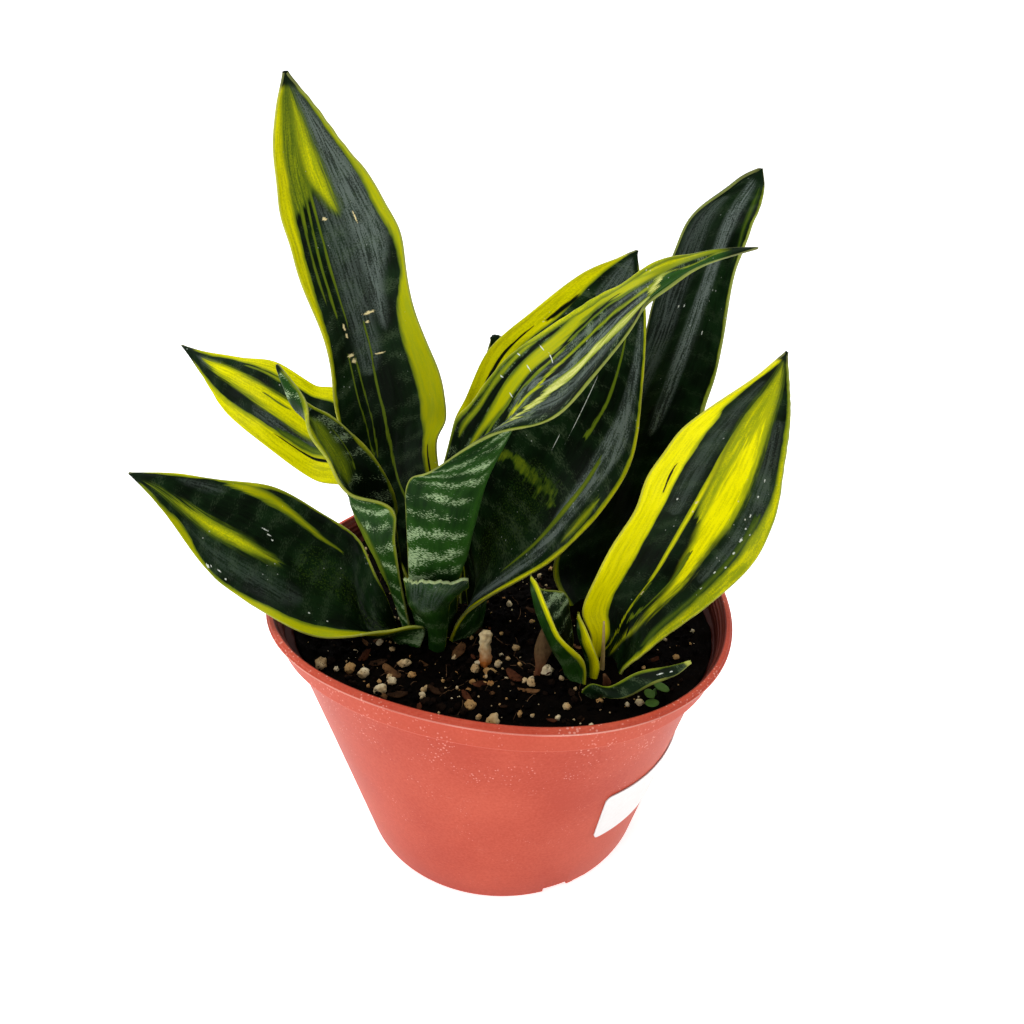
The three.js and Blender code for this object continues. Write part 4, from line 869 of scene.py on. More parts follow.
def leaf_material(name, looks, blade, outer, seed):
    """Living leaf: a tough waxy skin over flesh. The wax gives a soft gloss, the skin's silvery
    cells give cross bands, and stripes without green run along the veins. Grey painted sheen
    stands in for highlights where the table puts it."""
    leaf = bpy.context.scene.snake_plant.leaf
    tones = {tone: [tuple(getattr(leaf, part)) for part in parts]
             for tone, parts in TONES.items()}
    material, tree, shader = new_material(name, Specular_IOR_Level=leaf.gloss)
    where = add(tree, "SeparateXYZ", [add(tree, "UVMap", uv_map="blade")])
    margins = add(tree, "SeparateXYZ", [add(tree, "UVMap", uv_map="margins")])
    run = add(tree, "SeparateXYZ", [add(tree, "UVMap", uv_map="run")])
    u, s = where.outputs[0], where.outputs[1]
    first = add(tree, "Math", [margins.outputs[0], 1 / MM], operation="MULTIPLY")
    second = add(tree, "Math", [margins.outputs[1], 1 / MM], operation="MULTIPLY")
    along = add(tree, "Math", [run.outputs[0], 1 / MM], operation="MULTIPLY")
    width = add(tree, "Math", [first, second], operation="ADD")

    lines = add(tree, "Math", [u, float(VEINS)], operation="MULTIPLY")
    drift = add(tree, "Math", [along, 1 / STREAK], operation="MULTIPLY")
    veins = add(tree, "CombineXYZ", [lines, drift, seed])
    streak = add(tree, "TexNoise", {"Vector": veins, "Scale": 1.0, "Detail": 3.0,
                                    "Roughness": 0.6})
    centred = add(tree, "Math", [streak, 0.5], operation="SUBTRACT")
    ragged = add(tree, "Math", [centred, 2.6], operation="MULTIPLY")
    frayed = add(tree, "Math", [ragged, FRAY / blade.length, s], operation="MULTIPLY_ADD")
    skin = add(tree, "CombineXYZ", [first, along, seed])
    patches = add(tree, "TexNoise", {"Vector": skin, "Scale": 0.09, "Detail": 3.0})
    cells = add(tree, "TexNoise", {"Vector": skin, "Scale": 2.1, "Detail": 2.0})
    waver = add(tree, "TexNoise", {"Vector": skin, "Scale": 0.16, "Detail": 2.0})
    waver_off = add(tree, "Math", [waver, 0.5], operation="SUBTRACT")

    # Green, darker and lighter in patches and along the veins.
    vein_tone = add(tree, "MapRange", {"Value": streak, "From Min": 0.35, "From Max": 0.7})
    patch_tone = add(tree, "MapRange", {"Value": patches, "From Min": 0.4, "From Max": 0.68})
    green_share = add(tree, "Math", [vein_tone, 0.35, patch_tone], operation="MULTIPLY_ADD")
    deep, light = (leaf.outer, leaf.outer_light) if outer else (leaf.green_deep, leaf.green)
    shade = add(tree, "Mix", [green_share, tuple(deep), tuple(light)], data_type="RGBA")

    # Silvery cross bands rise to one side and are broken up into short flecks.
    off_rib = add(tree, "Math", [u, 0.5], operation="SUBTRACT")
    arch = add(tree, "Math", [off_rib, off_rib], operation="MULTIPLY")
    bent = add(tree, "Math", [arch, BAND_ARCH, along], operation="MULTIPLY_ADD")
    tilted = add(tree, "Math", [first, -BAND_TILT, bent], operation="MULTIPLY_ADD")
    swayed = add(tree, "Math", [waver_off, BAND_SWAY, tilted], operation="MULTIPLY_ADD")
    turn = add(tree, "Math", [swayed, 2 * math.pi / leaf.band_spacing * MM], operation="MULTIPLY")
    wave = add(tree, "Math", [turn], operation="SINE")
    fleck_place = add(tree, "Mapping", {"Vector": skin, "Scale": (1.3, 3.6, 1.0)})
    flecks = add(tree, "TexNoise", {"Vector": fleck_place, "Scale": 1.0, "Detail": 3.0})
    thicker = add(tree, "Math", [wave, 0.12, flecks], operation="MULTIPLY_ADD")
    grouped = add(tree, "Math", [patches, 0.8, thicker], operation="MULTIPLY_ADD")
    silver = add(tree, "MapRange", {"Value": grouped, "From Min": 0.975, "From Max": 1.13,
                                    "To Max": looks["silver"][1 if outer else 0]})
    shade = add(tree, "Mix", [silver, shade, tuple(leaf.silver)], data_type="RGBA")

    # Grey painted sheen stands in for highlights where the table says, thin along the veins.
    # wax holds the mask of the painted sheen; where it lies the skin is also rougher.
    wax = None
    for strength, soft, rows in looks.get("outer_painted_sheen" if outer else "painted_sheen", []):
        outside = outside_band(tree, s, u, width, rows)
        _, veil = soft_edge(tree, ragged, 0.5, outside, soft, strength)
        broken = add(tree, "Math", [centred, 2.0, cells], operation="MULTIPLY_ADD")
        holes = add(tree, "MapRange", {"Value": broken, "From Min": 0.3, "From Max": 0.66,
                                       "To Min": 0.15})
        wax = add(tree, "Math", [veil, holes], operation="MULTIPLY")
        shade = add(tree, "Mix", [wax, shade, tuple(leaf.painted_sheen)], data_type="RGBA")

    # Stripes, bars and margins without green. Each is greener at its fringe.
    layers = []
    for tone, soft, rows in looks.get("outer_bands" if outer else "bands", []):
        layers.append((tone, soft, outside_band(tree, frayed, u, width, rows)))
    for tone, soft, rows in [] if outer else looks.get("bars", []):
        cut = add(tree, "Math", [ragged, 0.012, s], operation="MULTIPLY_ADD")
        bar = outside_band(tree, u, cut, blade.length, rows)
        blotch = add(tree, "Math", [waver_off, 9.0, bar], operation="MULTIPLY_ADD")
        layers.append((tone, soft, blotch))
    over = [layer for layer in layers if layer[0] in ("dark", "fold", "cream", "scorch")]
    layers = [layer for layer in layers if layer not in over]
    for side, distance in (("first", first), ("second", second)):
        tone, rows = looks[side]
        reach = add(tree, "FloatCurve", {"Value": s}, curve=rows)
        start, end = (u, reach) if side == "first" else (reach, u)
        beyond = add(tree, "Math", [start, end], operation="SUBTRACT")
        in_mm = add(tree, "Math", [beyond, width], operation="MULTIPLY")
        wavy = add(tree, "Math", [waver_off, 1.0, in_mm], operation="MULTIPLY_ADD")
        layers.append((tone, 0.5, wavy))
    for tone, soft, outside in layers + over:
        main, streaked, fringe = tones[tone]
        uneven, mask = soft_edge(tree, ragged, 0.6, outside, soft)
        if tone == "mottle":
            spots = add(tree, "MapRange", {"Value": cells, "From Min": 0.5, "From Max": 0.72,
                                           "To Max": 0.5})
            mask = add(tree, "Math", [mask, spots], operation="MULTIPLY")
        fine = add(tree, "Math", [cells, 0.5, streak], operation="MULTIPLY_ADD")
        share = add(tree, "MapRange", {"Value": fine, "From Min": 0.66, "From Max": 0.92,
                                       "To Max": 0.85})
        body = add(tree, "Mix", [share, main, streaked], data_type="RGBA")
        reach = -FRINGE - 0.45 * soft
        core = add(tree, "MapRange", {"Value": uneven, "From Min": 0.15, "From Max": reach},
                   interpolation_type="SMOOTHSTEP")
        colour = add(tree, "Mix", [core, fringe, body], data_type="RGBA")
        shade = add(tree, "Mix", [mask, shade, colour], data_type="RGBA")

    # The tip dries to horn or keeps its own tone, and so does the rim, 0.3 mm wide.
    tone, reach = looks["tip"]
    main, streaked, _ = tones[tone]
    to_tip = add(tree, "Math", [run.outputs[1], 1 / MM], operation="MULTIPLY")
    uneven = add(tree, "Math", [ragged, 0.3 * reach, to_tip], operation="MULTIPLY_ADD")
    near_tip = add(tree, "MapRange", {"Value": uneven, "From Min": 1.2 * reach,
                                      "From Max": 0.8 * reach})
    horn = add(tree, "Mix", [cells, main, streaked], data_type="RGBA")
    shade = add(tree, "Mix", [near_tip, shade, horn], data_type="RGBA")
    nearest = add(tree, "Math", [first, second], operation="MINIMUM")
    rim = add(tree, "MapRange", {"Value": nearest, "From Min": 0.3, "From Max": 0.14,
                                 "To Max": 0.5})
    shade = add(tree, "Mix", [rim, shade, tuple(leaf.rim)], data_type="RGBA")

    # Dry scars, and specks that hard water leaves, 0.2 to 0.5 mm wide.
    rough = add(tree, "MapRange", {"Value": cells, "To Min": leaf.roughness - 0.08,
                                   "To Max": leaf.roughness + 0.1})
    scars = [(scar, leaf.scar) for scar in looks.get("scars", [])]
    scars += [(scar, leaf.speck) for scar in looks.get("white_scars", [])]
    for (u_at, s_at, half_across, half_along), colour in [] if outer else scars:
        aside = add(tree, "Math", [u, u_at], operation="SUBTRACT")
        ahead = add(tree, "Math", [s, s_at], operation="SUBTRACT")
        wide = add(tree, "Math", [width, 1 / half_across], operation="MULTIPLY")
        away = add(tree, "CombineXYZ", [
            add(tree, "Math", [aside, wide], operation="MULTIPLY"),
            add(tree, "Math", [ahead, blade.length / half_along], operation="MULTIPLY"), 0.0])
        distance = add(tree, "VectorMath", [away], operation="LENGTH").outputs[1]
        uneven = add(tree, "Math", [flecks, 2.4, distance], operation="MULTIPLY_ADD")
        spot = add(tree, "MapRange", {"Value": uneven, "From Min": 2.25, "From Max": 1.85})
        shade = add(tree, "Mix", [spot, shade, tuple(colour)], data_type="RGBA")
        rough = add(tree, "Mix", [spot, rough, 0.8])
    dots = add(tree, "TexVoronoi", {"Vector": skin, "Scale": 0.5})
    rare = add(tree, "MapRange", {"Value": patches, "From Min": 0.5, "From Max": 0.66,
                                  "To Max": 0.14})
    gap = add(tree, "Math", [dots.outputs["Distance"], rare], operation="SUBTRACT")
    speck = add(tree, "MapRange", {"Value": gap, "From Min": 0.0, "From Max": -0.04,
                                   "To Max": 0.4})
    shade = add(tree, "Mix", [speck, shade, tuple(leaf.speck)], data_type="RGBA")
    if wax is not None:
        rough = add(tree, "Mix", [wax, rough, 0.5])

    # Relief: fine veins about 0.8 mm apart and the skin's grain of half a millimetre.
    height = add(tree, "Math", [cells, 0.35, streak], operation="MULTIPLY_ADD")
    bump = add(tree, "Bump", {"Height": height, "Strength": 0.45, "Distance": 0.15 * MM})
    fill(tree, shader, {"Base Color": shade, "Roughness": rough, "Normal": bump})
    return material


# ------------------------------------------------------------------ pieces

def build_leaves():
    for name, leaf in LEAVES.items():
        blade = Blade(leaf)
        looks = MARKINGS[name]
        inner_front = looks["inner"] == "front"
        faces = [leaf_material(f"Waxy leaf skin, {name}, {side}", looks, blade, outer, SEEDS[name])
                 for side, outer in (("inner", False), ("outer", True))]
        materials = faces if inner_front else faces[::-1]
        made = blade.make(f"{name}_blade", name, materials)
        settle(made, "leaf", name)


def pot_profile():
    """The pot's outline, with the roundings that a mould gives its edges."""
    return rounded([
        (0, FLOOR_UNDERSIDE, 0),
        (FOOT_RADIUS - FOOT_WIDTH - 1, FLOOR_UNDERSIDE, 0.6),
        (FOOT_RADIUS - FOOT_WIDTH, 0, 0.5),
        (FOOT_RADIUS, 0, 1.2),
        (wall_radius(14), 14, 0),
        (wall_radius(50), 50, 0),
        (SHOULDER_RADIUS, SHOULDER_HEIGHT, 0.9),
        (COLLAR_RADIUS, SHOULDER_HEIGHT + 0.5, 0.8),
        (COLLAR_RADIUS + 0.4, LIP_UNDER - 0.2, 0.5),
        (LIP_RADIUS, LIP_UNDER, 0.5),
        (LIP_RADIUS, LIP_UNDER + 0.75, 0.25),
        (LIP_RADIUS - 0.5, LIP_UNDER + 0.95, 0.15),
        (LIP_RADIUS - 0.7, POT_HEIGHT, 0.5),
        (LIP_INNER_RADIUS, POT_HEIGHT, 0.5),
        (LIP_INNER_RADIUS - 0.8, 94.2, 0.3),
        (LIP_INNER_RADIUS - 1.4, 93.7, 0.3),
        (LIP_INNER_RADIUS - 1.4, 92.4, 0.3),
        (LIP_INNER_RADIUS - 1.9, 92, 0.3),
        (LIP_INNER_RADIUS - 1.9, 90.6, 0.3),
        (COLLAR_RADIUS - WALL, 90.2, 0.3),
        (COLLAR_RADIUS - WALL, STEP_TOP, 0.5),
        (wall_radius(STEP_FOOT) - WALL, STEP_FOOT, 0.5),
        (wall_radius(FLOOR_TOP) - WALL, FLOOR_TOP, 1.5),
        (0, FLOOR_TOP, 0),
    ])


def box_points(low, high):
    corners = np.array([(x, y, z) for x in (low[0], high[0]) for y in (low[1], high[1])
                        for z in (low[2], high[2])], float)
    faces = [(0, 1, 3, 2), (4, 6, 7, 5), (0, 4, 5, 1), (2, 3, 7, 6), (0, 2, 6, 4), (1, 5, 7, 3)]
    return corners, faces


def turned_about_axis(points, degrees):
    angle = math.radians(degrees)
    turn = np.array([[math.cos(angle), -math.sin(angle), 0],
                     [math.sin(angle), math.cos(angle), 0], [0, 0, 1]])
    return points @ turn.T


def build_pot():
    profile = pot_profile()
    vertices, faces = turned(profile)
    made = new_object("pot_body", place(bend(vertices)), faces, [pot_plastic()])
    heights = np.array(profile[1:-1])[:, 1]
    past_lip = np.arange(len(heights)) > np.nonzero(heights > POT_HEIGHT - 0.01)[0][-1]
    inside = np.concatenate([[0, 1], np.tile(past_lip, (len(vertices) - 2) // len(heights))])
    set_uv(made, "wall", np.stack([inside, vertices[:, 2] / POT_HEIGHT], -1))
    parts = []
    for third in range(3):
        for angle, width, height in NOTCHES:
            low = (FOOT_RADIUS - FOOT_WIDTH - 2, -width / 2, -height)
            points, polygons = box_points(low, (FOOT_RADIUS + 2, width / 2, height))
            parts.append((turned_about_axis(points, angle + 120 * third), polygons))
    for index in range(DRAINS["count"]):
        line = [(DRAINS["ring"], 0, DRAINS[end]) for end in ("cut_from", "cut_to")]
        drain, polygons = tube(line, [DRAINS["radius"]] * 2, 40)
        parts.append((turned_about_axis(drain, 360 / DRAINS["count"] * index), polygons))
    vertices, faces = joined(parts)
    holes = new_object("pot_holes", place(vertices), faces, [], smooth=False)
    cut = made.modifiers.new("holes", "BOOLEAN")
    cut.object, cut.operation, cut.solver = holes, "DIFFERENCE", "EXACT"
    bpy.context.view_layer.objects.active = made
    bpy.ops.object.modifier_apply(modifier=cut.name)
    bpy.data.objects.remove(holes)
    made.data.set_sharp_from_angle(angle=SHARP_ANGLE)
    settle(made, "terracotta_plastic", "pot")


def pot_plastic():
    """Polypropylene, injection moulded: an even salmon colour with a satin sheen and pale scuffs,
    dusted with dried potting mix and lime from watering. The collar is painted lighter, a painted
    highlight runs along the lip's lower edge, and the inside is painted dark as shade."""
    pot = bpy.context.scene.snake_plant.pot
    material, tree, shader = new_material("Moulded polypropylene", Specular_IOR_Level=0.08)
    where = add(tree, "TexCoord").outputs["Object"]
    part = add(tree, "SeparateXYZ", [where])
    cloud = add(tree, "TexNoise", {"Vector": where, "Scale": 28.0, "Detail": 3.0})
    speckle = add(tree, "TexNoise", {"Vector": where, "Scale": 1200.0, "Detail": 1.0})
    mottled = add(tree, "Math", [speckle, 0.5, cloud], operation="MULTIPLY_ADD")
    shade_share = add(tree, "MapRange", {"Value": mottled, "From Min": 0.58, "From Max": 1.0})
    shade = add(tree, "Mix", [shade_share, tuple(pot.plastic), tuple(pot.plastic_pale)],
                data_type="RGBA")
    # Dust: specks 0.1 to 0.3 mm wide, thicker near the collar and in loose clouds.
    specks = add(tree, "TexVoronoi", {"Vector": where, "Scale": 850.0})
    size = add(tree, "TexNoise", {"Vector": where, "Scale": 90.0, "Detail": 2.0})
    near_rim = add(tree, "MapRange", {"Value": part.outputs[2], "From Min": 0.02, "From Max": 0.09,
                                      "To Min": 0.7, "To Max": 1.0})
    thick = add(tree, "Math", [size, near_rim], operation="MULTIPLY")
    reach = add(tree, "MapRange", {"Value": thick, "From Min": 0.34, "From Max": 0.66,
                                   "To Max": 0.3})
    gap = add(tree, "Math", [specks.outputs["Distance"], reach], operation="SUBTRACT")
    dust = add(tree, "MapRange", {"Value": gap, "From Min": 0.05, "From Max": -0.05,
                                  "To Max": pot.dust})
    shade = add(tree, "Mix", [dust, shade, linear("E8A898")], data_type="RGBA")
    # Scuffs: short pale rubs that run round the pot.
    squeezed = add(tree, "Mapping", {"Vector": where, "Scale": (1.0, 1.0, 5.0)})
    rubs = add(tree, "TexNoise", {"Vector": squeezed, "Scale": 160.0, "Detail": 4.0,
                                  "Roughness": 0.7})
    rub = add(tree, "MapRange", {"Value": rubs, "From Min": 0.66, "From Max": 0.8,
                                 "To Max": 0.35})
    shade = add(tree, "Mix", [rub, shade, linear("E79C8B")], data_type="RGBA")
    # Painted light: the collar between the shoulder and the lip is painted lighter, and a thin
    # painted highlight, broken up by noise, runs along the lip's lower edge.
    wall = add(tree, "SeparateXYZ", [add(tree, "UVMap", uv_map="wall")])
    height = add(tree, "Math", [wall.outputs[1], POT_HEIGHT], operation="MULTIPLY")
    collar_light_band = add(tree, "MapRange", {"Value": height, "From Min": SHOULDER_HEIGHT - 0.5,
                                     "From Max": SHOULDER_HEIGHT + 0.5, "To Max": 0.3})
    below_lip = add(tree, "MapRange", {"Value": height, "From Min": LIP_UNDER + 0.1,
                                       "From Max": LIP_UNDER - 0.2})
    painted_collar_light = add(tree, "Math", [collar_light_band, below_lip], operation="MULTIPLY")
    shade = add(tree, "Mix", [painted_collar_light, shade, linear("D9664F")], data_type="RGBA")
    # Painted highlight: a thin pale line along the lip's lower edge.
    lip_highlight_band = add(tree, "Math", [height, LIP_UNDER + 0.3, 0.4], operation="COMPARE")
    highlight_breakup = add(tree, "MapRange", {"Value": cloud, "From Min": 0.3, "From Max": 0.6,
                                  "To Min": 0.1, "To Max": 0.5})
    edge = add(tree, "Math", [lip_highlight_band, highlight_breakup], operation="MULTIPLY")
    shade = add(tree, "Mix", [edge, shade, linear("F2BEB0")], data_type="RGBA")
    # Inside, painted shade: the wall is painted dark brown-red, darker further down, with a noisy
    # edge.
    inside_shade_depth = add(tree, "Math", [cloud, 0.06, wall.outputs[1]], operation="MULTIPLY_ADD")
    low_down = add(tree, "MapRange", {"Value": inside_shade_depth, "From Min": 1.02, "From Max": 0.95,
                                      "To Min": 0.78, "To Max": 0.97})
    stain_and_shade = add(tree, "Math", [wall.outputs[0], low_down], operation="MULTIPLY")
    shade = add(tree, "Mix", [stain_and_shade, shade, linear("2A0A06")], data_type="RGBA")
    rough = add(tree, "MapRange", {"Value": cloud, "To Min": pot.roughness - 0.06,
                                   "To Max": pot.roughness + 0.1})
    fine = add(tree, "TexNoise", {"Vector": where, "Scale": 900.0, "Detail": 2.0})
    bump = add(tree, "Bump", {"Height": fine, "Strength": 0.12, "Distance": 0.1 * MM})
    fill(tree, shader, {"Base Color": shade, "Roughness": rough, "Normal": bump})
    return material


def build_label():
    """A thin rounded patch that follows the wall."""
    columns, rows = 60, 24
    radius = wall_radius(LABEL["bottom"] + LABEL["height"] / 2)
    arc = LABEL["width"] / radius
    points, faces = [], []
    for over in (0.15, 0.5):
        for i in range(columns + 1):
            along = i / columns * LABEL["width"]
            short = max(LABEL["corner"] - min(along, LABEL["width"] - along), 0)
            inset = LABEL["corner"] - math.sqrt(LABEL["corner"] ** 2 - short ** 2)
            angle = math.radians(LABEL["left"]) + i / columns * arc
            for j in range(rows + 1):
                height = LABEL["bottom"] + inset + (LABEL["height"] - 2 * inset) * j / rows
                wall = wall_radius(height) + over
                points.append((wall * math.cos(angle), wall * math.sin(angle), height))
    layer = (columns + 1) * (rows + 1)
    rim = (list(range(rows + 1))
           + [i * (rows + 1) + rows for i in range(1, columns + 1)]
           + [columns * (rows + 1) + j for j in range(rows - 1, -1, -1)]
           + [i * (rows + 1) for i in range(columns - 1, 0, -1)])
    for i in range(columns):
        for j in range(rows):
            a = i * (rows + 1) + j
            b = a + rows + 1
            faces.append((a, a + 1, b + 1, b))
            faces.append((layer + a, layer + b, layer + b + 1, layer + a + 1))
    for here, following in zip(rim, rim[1:] + rim[:1]):
        faces.append((here, layer + here, layer + following, following))
    made = new_object("label_patch", place(bend(points)), faces, [label_paper()])
    made.data.set_sharp_from_angle(angle=SHARP_ANGLE)
    settle(made, "label_paper", "label")


def label_paper():
    """Coated label paper: bright white, with a faint satin gloss and its fibres just showing."""
    material, tree, shader = new_material("Coated label paper", Roughness=0.42,
                                          Specular_IOR_Level=0.1)
    where = add(tree, "TexCoord").outputs["Object"]
    fibres, shade = two_tone(tree, where, 700.0, 3.0, "E6E6E4", "F4F4F3")
    bump = add(tree, "Bump", {"Height": fibres, "Strength": 0.15, "Distance": 0.05 * MM})
    fill(tree, shader, {"Base Color": shade, "Normal": bump})
    return material


# ------------------------------------------------------------------ potting mix

def soil_height(x, y):
    """Height of the mix's surface in mm: the broad lumps of the solid and finer crumbs."""
    broad = math.sin(x / 7.3 + 1) * math.cos(y / 6.1)
    fine = math.sin(x / 3.1 + y / 4.3) * math.sin(y / 3.7 - x / 5.9)
    crumbs = 0.9 * noise.noise((x / 2.6, y / 2.6, 1.0)) + 0.5 * noise.noise((x / 1.1, y / 1.1, 5.0))
    return SOIL_LEVEL + 0.5 * (broad + fine) + crumbs


def inside_radius(height):
    """The inside of the round pot, in mm: wall, slanted step and collar."""
    if height < STEP_FOOT:
        return wall_radius(height) - WALL
    share = min((height - STEP_FOOT) / (STEP_TOP - STEP_FOOT), 1)
    narrow = wall_radius(STEP_FOOT)
    return narrow + (COLLAR_RADIUS - narrow) * share - WALL


def build_soil():
    rings, segments = 105, 300
    floor = FLOOR_TOP + CLEARANCE
    vertices = [(0, 0, floor), (0, 0, soil_height(0, 0))]
    for column in range(segments):
        angle = column * 2 * math.pi / segments
        lift = WAVE_HEIGHT * math.cos(2 * (angle - WAVE_ANGLE))
        top = SOIL_LEVEL / (1 + lift / POT_HEIGHT)
        heights = [floor, min(STEP_FOOT - 0.2, top - 0.4), min(STEP_TOP - 0.2, top - 0.2)]
        for height in heights:
            radius = inside_radius(height) - CLEARANCE - 0.1
            vertices.append(tuple(bend([(radius * math.cos(angle), radius * math.sin(angle),
                                         height)])[0]))
        radius = inside_radius(top) - CLEARANCE - 0.1
        edge = bend([(radius * math.cos(angle), radius * math.sin(angle), top)])[0]
        for ring in range(rings, 0, -1):
            x, y = edge[0] * ring / rings, edge[1] * ring / rings
            vertices.append((x, y, soil_height(x, y)))
    piece("soil_body", (vertices, column_faces(segments, 3 + rings)), [peat()], "potting_mix",
          "soil")


def peat():
    """Damp milled peat: almost black, matt, with browner fibres and a few wet glints."""
    soil = bpy.context.scene.snake_plant.soil
    material, tree, shader = new_material("Damp milled peat", Specular_IOR_Level=0.02)
    where = add(tree, "TexCoord").outputs["Object"]
    crumbs = add(tree, "TexNoise", {"Vector": where, "Scale": 420.0, "Detail": 5.0,
                                    "Roughness": 0.65})
    tone = add(tree, "MapRange", {"Value": crumbs, "From Min": 0.42, "From Max": 0.75})
    shade = add(tree, "Mix", [tone, tuple(soil.peat), tuple(soil.peat_light)], data_type="RGBA")
    rough = add(tree, "MapRange", {"Value": crumbs, "To Min": 0.6, "To Max": 1.0})
    bump = add(tree, "Bump", {"Height": crumbs, "Strength": 0.9, "Distance": 0.6 * MM})
    fill(tree, shader, {"Base Color": shade, "Roughness": rough, "Normal": bump})
    return material


def lump_form(subdivisions):
    """Points and faces of a round lump of radius 1."""
    ball = bmesh.new()
    bmesh.ops.create_icosphere(ball, subdivisions=subdivisions, radius=1)
    points = np.array([v.co for v in ball.verts])
    faces = [tuple(v.index for v in f.verts) for f in ball.faces]
    ball.free()
    return points, faces


def scattered(draw, count, margin):
    """Seeded places on the mix, in mm, clear of the crowns and inside the bent pot."""
    reach = inside_radius(SOIL_LEVEL) - margin
    places = []
    while len(places) < count:
        angle, distance = draw.uniform(0, 2 * math.pi), reach * math.sqrt(draw.uniform())
        x, y, _ = bend([(distance * math.cos(angle), distance * math.sin(angle), SOIL_LEVEL)])[0]
        if all(math.hypot(x - cx, y - cy) > 8 for cx, cy in CROWNS.values()):
            places.append((x, y))
    return places


def scatter(name, draw, places, sizes, form, materials, *, flat, knobbly, sunk, smooth=False):
    """One mesh of uneven lumps that lie on the mix, each turned and stretched its own way."""
    base, base_faces = form
    parts, indices = [], []
    for k, ((x, y), size) in enumerate(zip(places, sizes)):
        stretch = np.array([1, draw.uniform(0.6, 0.95), draw.uniform(*flat)])
        seed = draw.uniform(0, 50)
        bumps = np.array([noise.noise(Vector(p) * 1.7 + Vector((seed, seed, 0))) for p in base])
        points = base * (1 + knobbly * bumps)[:, None] * stretch * size
        turn = Matrix.Rotation(draw.uniform(0, 6.28), 3, "Z") @ Matrix.Rotation(
            draw.uniform(-0.6, 0.6), 3, "X") @ Matrix.Rotation(draw.uniform(-0.6, 0.6), 3, "Y")
        height = soil_height(x, y) + size * stretch[2] * (1 - sunk)
        parts.append((points @ np.array(turn).T + (x, y, height), base_faces))
        indices += [k % len(materials)] * len(base_faces)
    piece(name, joined(parts), materials, "potting_mix", smooth=smooth, indices=indices)


def grain_material(name, main, other, pore, scale):
    """Expanded or crumbled mineral and bark: matt, pitted, stained by the damp mix."""
    material, tree, shader = new_material(name, Roughness=0.85, Specular_IOR_Level=0.03)
    where = add(tree, "TexCoord").outputs["Object"]
    stain_and_shade = add(tree, "TexNoise", {"Vector": where, "Scale": 260.0, "Detail": 3.0})
    share = add(tree, "MapRange", {"Value": stain_and_shade, "From Min": 0.4, "From Max": 0.7})
    shade = add(tree, "Mix", [share, linear(main), linear(other)], data_type="RGBA")
    pits = add(tree, "TexVoronoi", {"Vector": where, "Scale": scale})
    pit = add(tree, "MapRange", {"Value": pits.outputs["Distance"], "From Min": 0.28,
                                 "From Max": 0.1})
    shade = add(tree, "Mix", [pit, shade, linear(pore)], data_type="RGBA")
    bump = add(tree, "Bump", {"Height": pits.outputs["Distance"], "Strength": 0.7,
                              "Distance": 0.3 * MM})
    fill(tree, shader, {"Base Color": shade, "Normal": bump})
    return material


def build_grains():
    soil = bpy.context.scene.snake_plant.soil
    draw = np.random.default_rng(7)
    dark = [grain_material("Peat crumb", "050302", "0E0906", "020101", 900),
            grain_material("Wet peat crumb", "030202", "080504", "010101", 900),
            grain_material("Brown peat crumb", "0E0805", "1E130C", "050302", 900)]
    scatter("peat_crumbs", draw, scattered(draw, soil.crumbs, margin=2.6),
            0.35 + 1.2 * draw.uniform(size=soil.crumbs) ** 2, lump_form(1), dark,
            flat=(0.5, 0.95), knobbly=0.6, sunk=0.5)
    white = [grain_material("Expanded perlite", "C8AE82", "A07A4A", "4A3520", 1100),
             grain_material("Stained perlite", "B8935F", "94673A", "43301C", 1100),
             grain_material("Clean perlite", "D8C8A4", "B0905F", "6A5232", 1100)]
    places = [(x, y) for x, y, _ in BIG_PERLITE]
    scatter("perlite_large", draw, places, [0.88 * size for *_, size in BIG_PERLITE], lump_form(3),
            white, flat=(0.65, 0.95), knobbly=0.4, sunk=0.3, smooth=True)
    scatter("perlite_small", draw, scattered(draw, soil.perlite, margin=3),
            0.2 + 1.1 * draw.uniform(size=soil.perlite) ** 3.4, lump_form(2), white,
            flat=(0.6, 0.95), knobbly=0.45, sunk=0.35, smooth=True)


def build_bark():
    draw = np.random.default_rng(19)
    soil = bpy.context.scene.snake_plant.soil
    browns = [grain_material("Composted bark", "24160D", "3E2A1B", "0E0805", 800),
              grain_material("Pale bark", "4E3420", "745232", "20130B", 800),
              grain_material("Reddish bark", "3E2013", "5A3421", "190B06", 800)]
    parts, indices = [], []
    chips = list(BIG_CHIPS) + [(x, y, draw.uniform(2.0, 5.0), draw.uniform(0, 180))
                               for x, y in scattered(draw, soil.bark, margin=6)]
    base, base_faces = lump_form(2)
    for k, (x, y, length, turn) in enumerate(chips):
        seed = draw.uniform(0, 60)
        ragged = np.array([noise.noise(Vector((p[0] * 3, p[1] * 3, seed))) for p in base])
        points = base * np.array([0.5, 0.24, 0.06]) * length * (1 + 0.5 * ragged)[:, None]
        points[:, 2] += 0.10 * length * (points[:, 0] / (0.5 * length)) ** 2  # curled up
        lean = Matrix.Rotation(draw.uniform(-0.35, 0.5), 3, "Y")
        spin = Matrix.Rotation(math.radians(turn), 3, "Z")
        height = soil_height(x, y) + 0.12 * length
        parts.append((points @ np.array(spin @ lean).T + (x, y, height), base_faces))
        indices += [k % len(browns)] * len(base_faces)
    piece("bark_chips", joined(parts), browns, "bark", indices=indices)


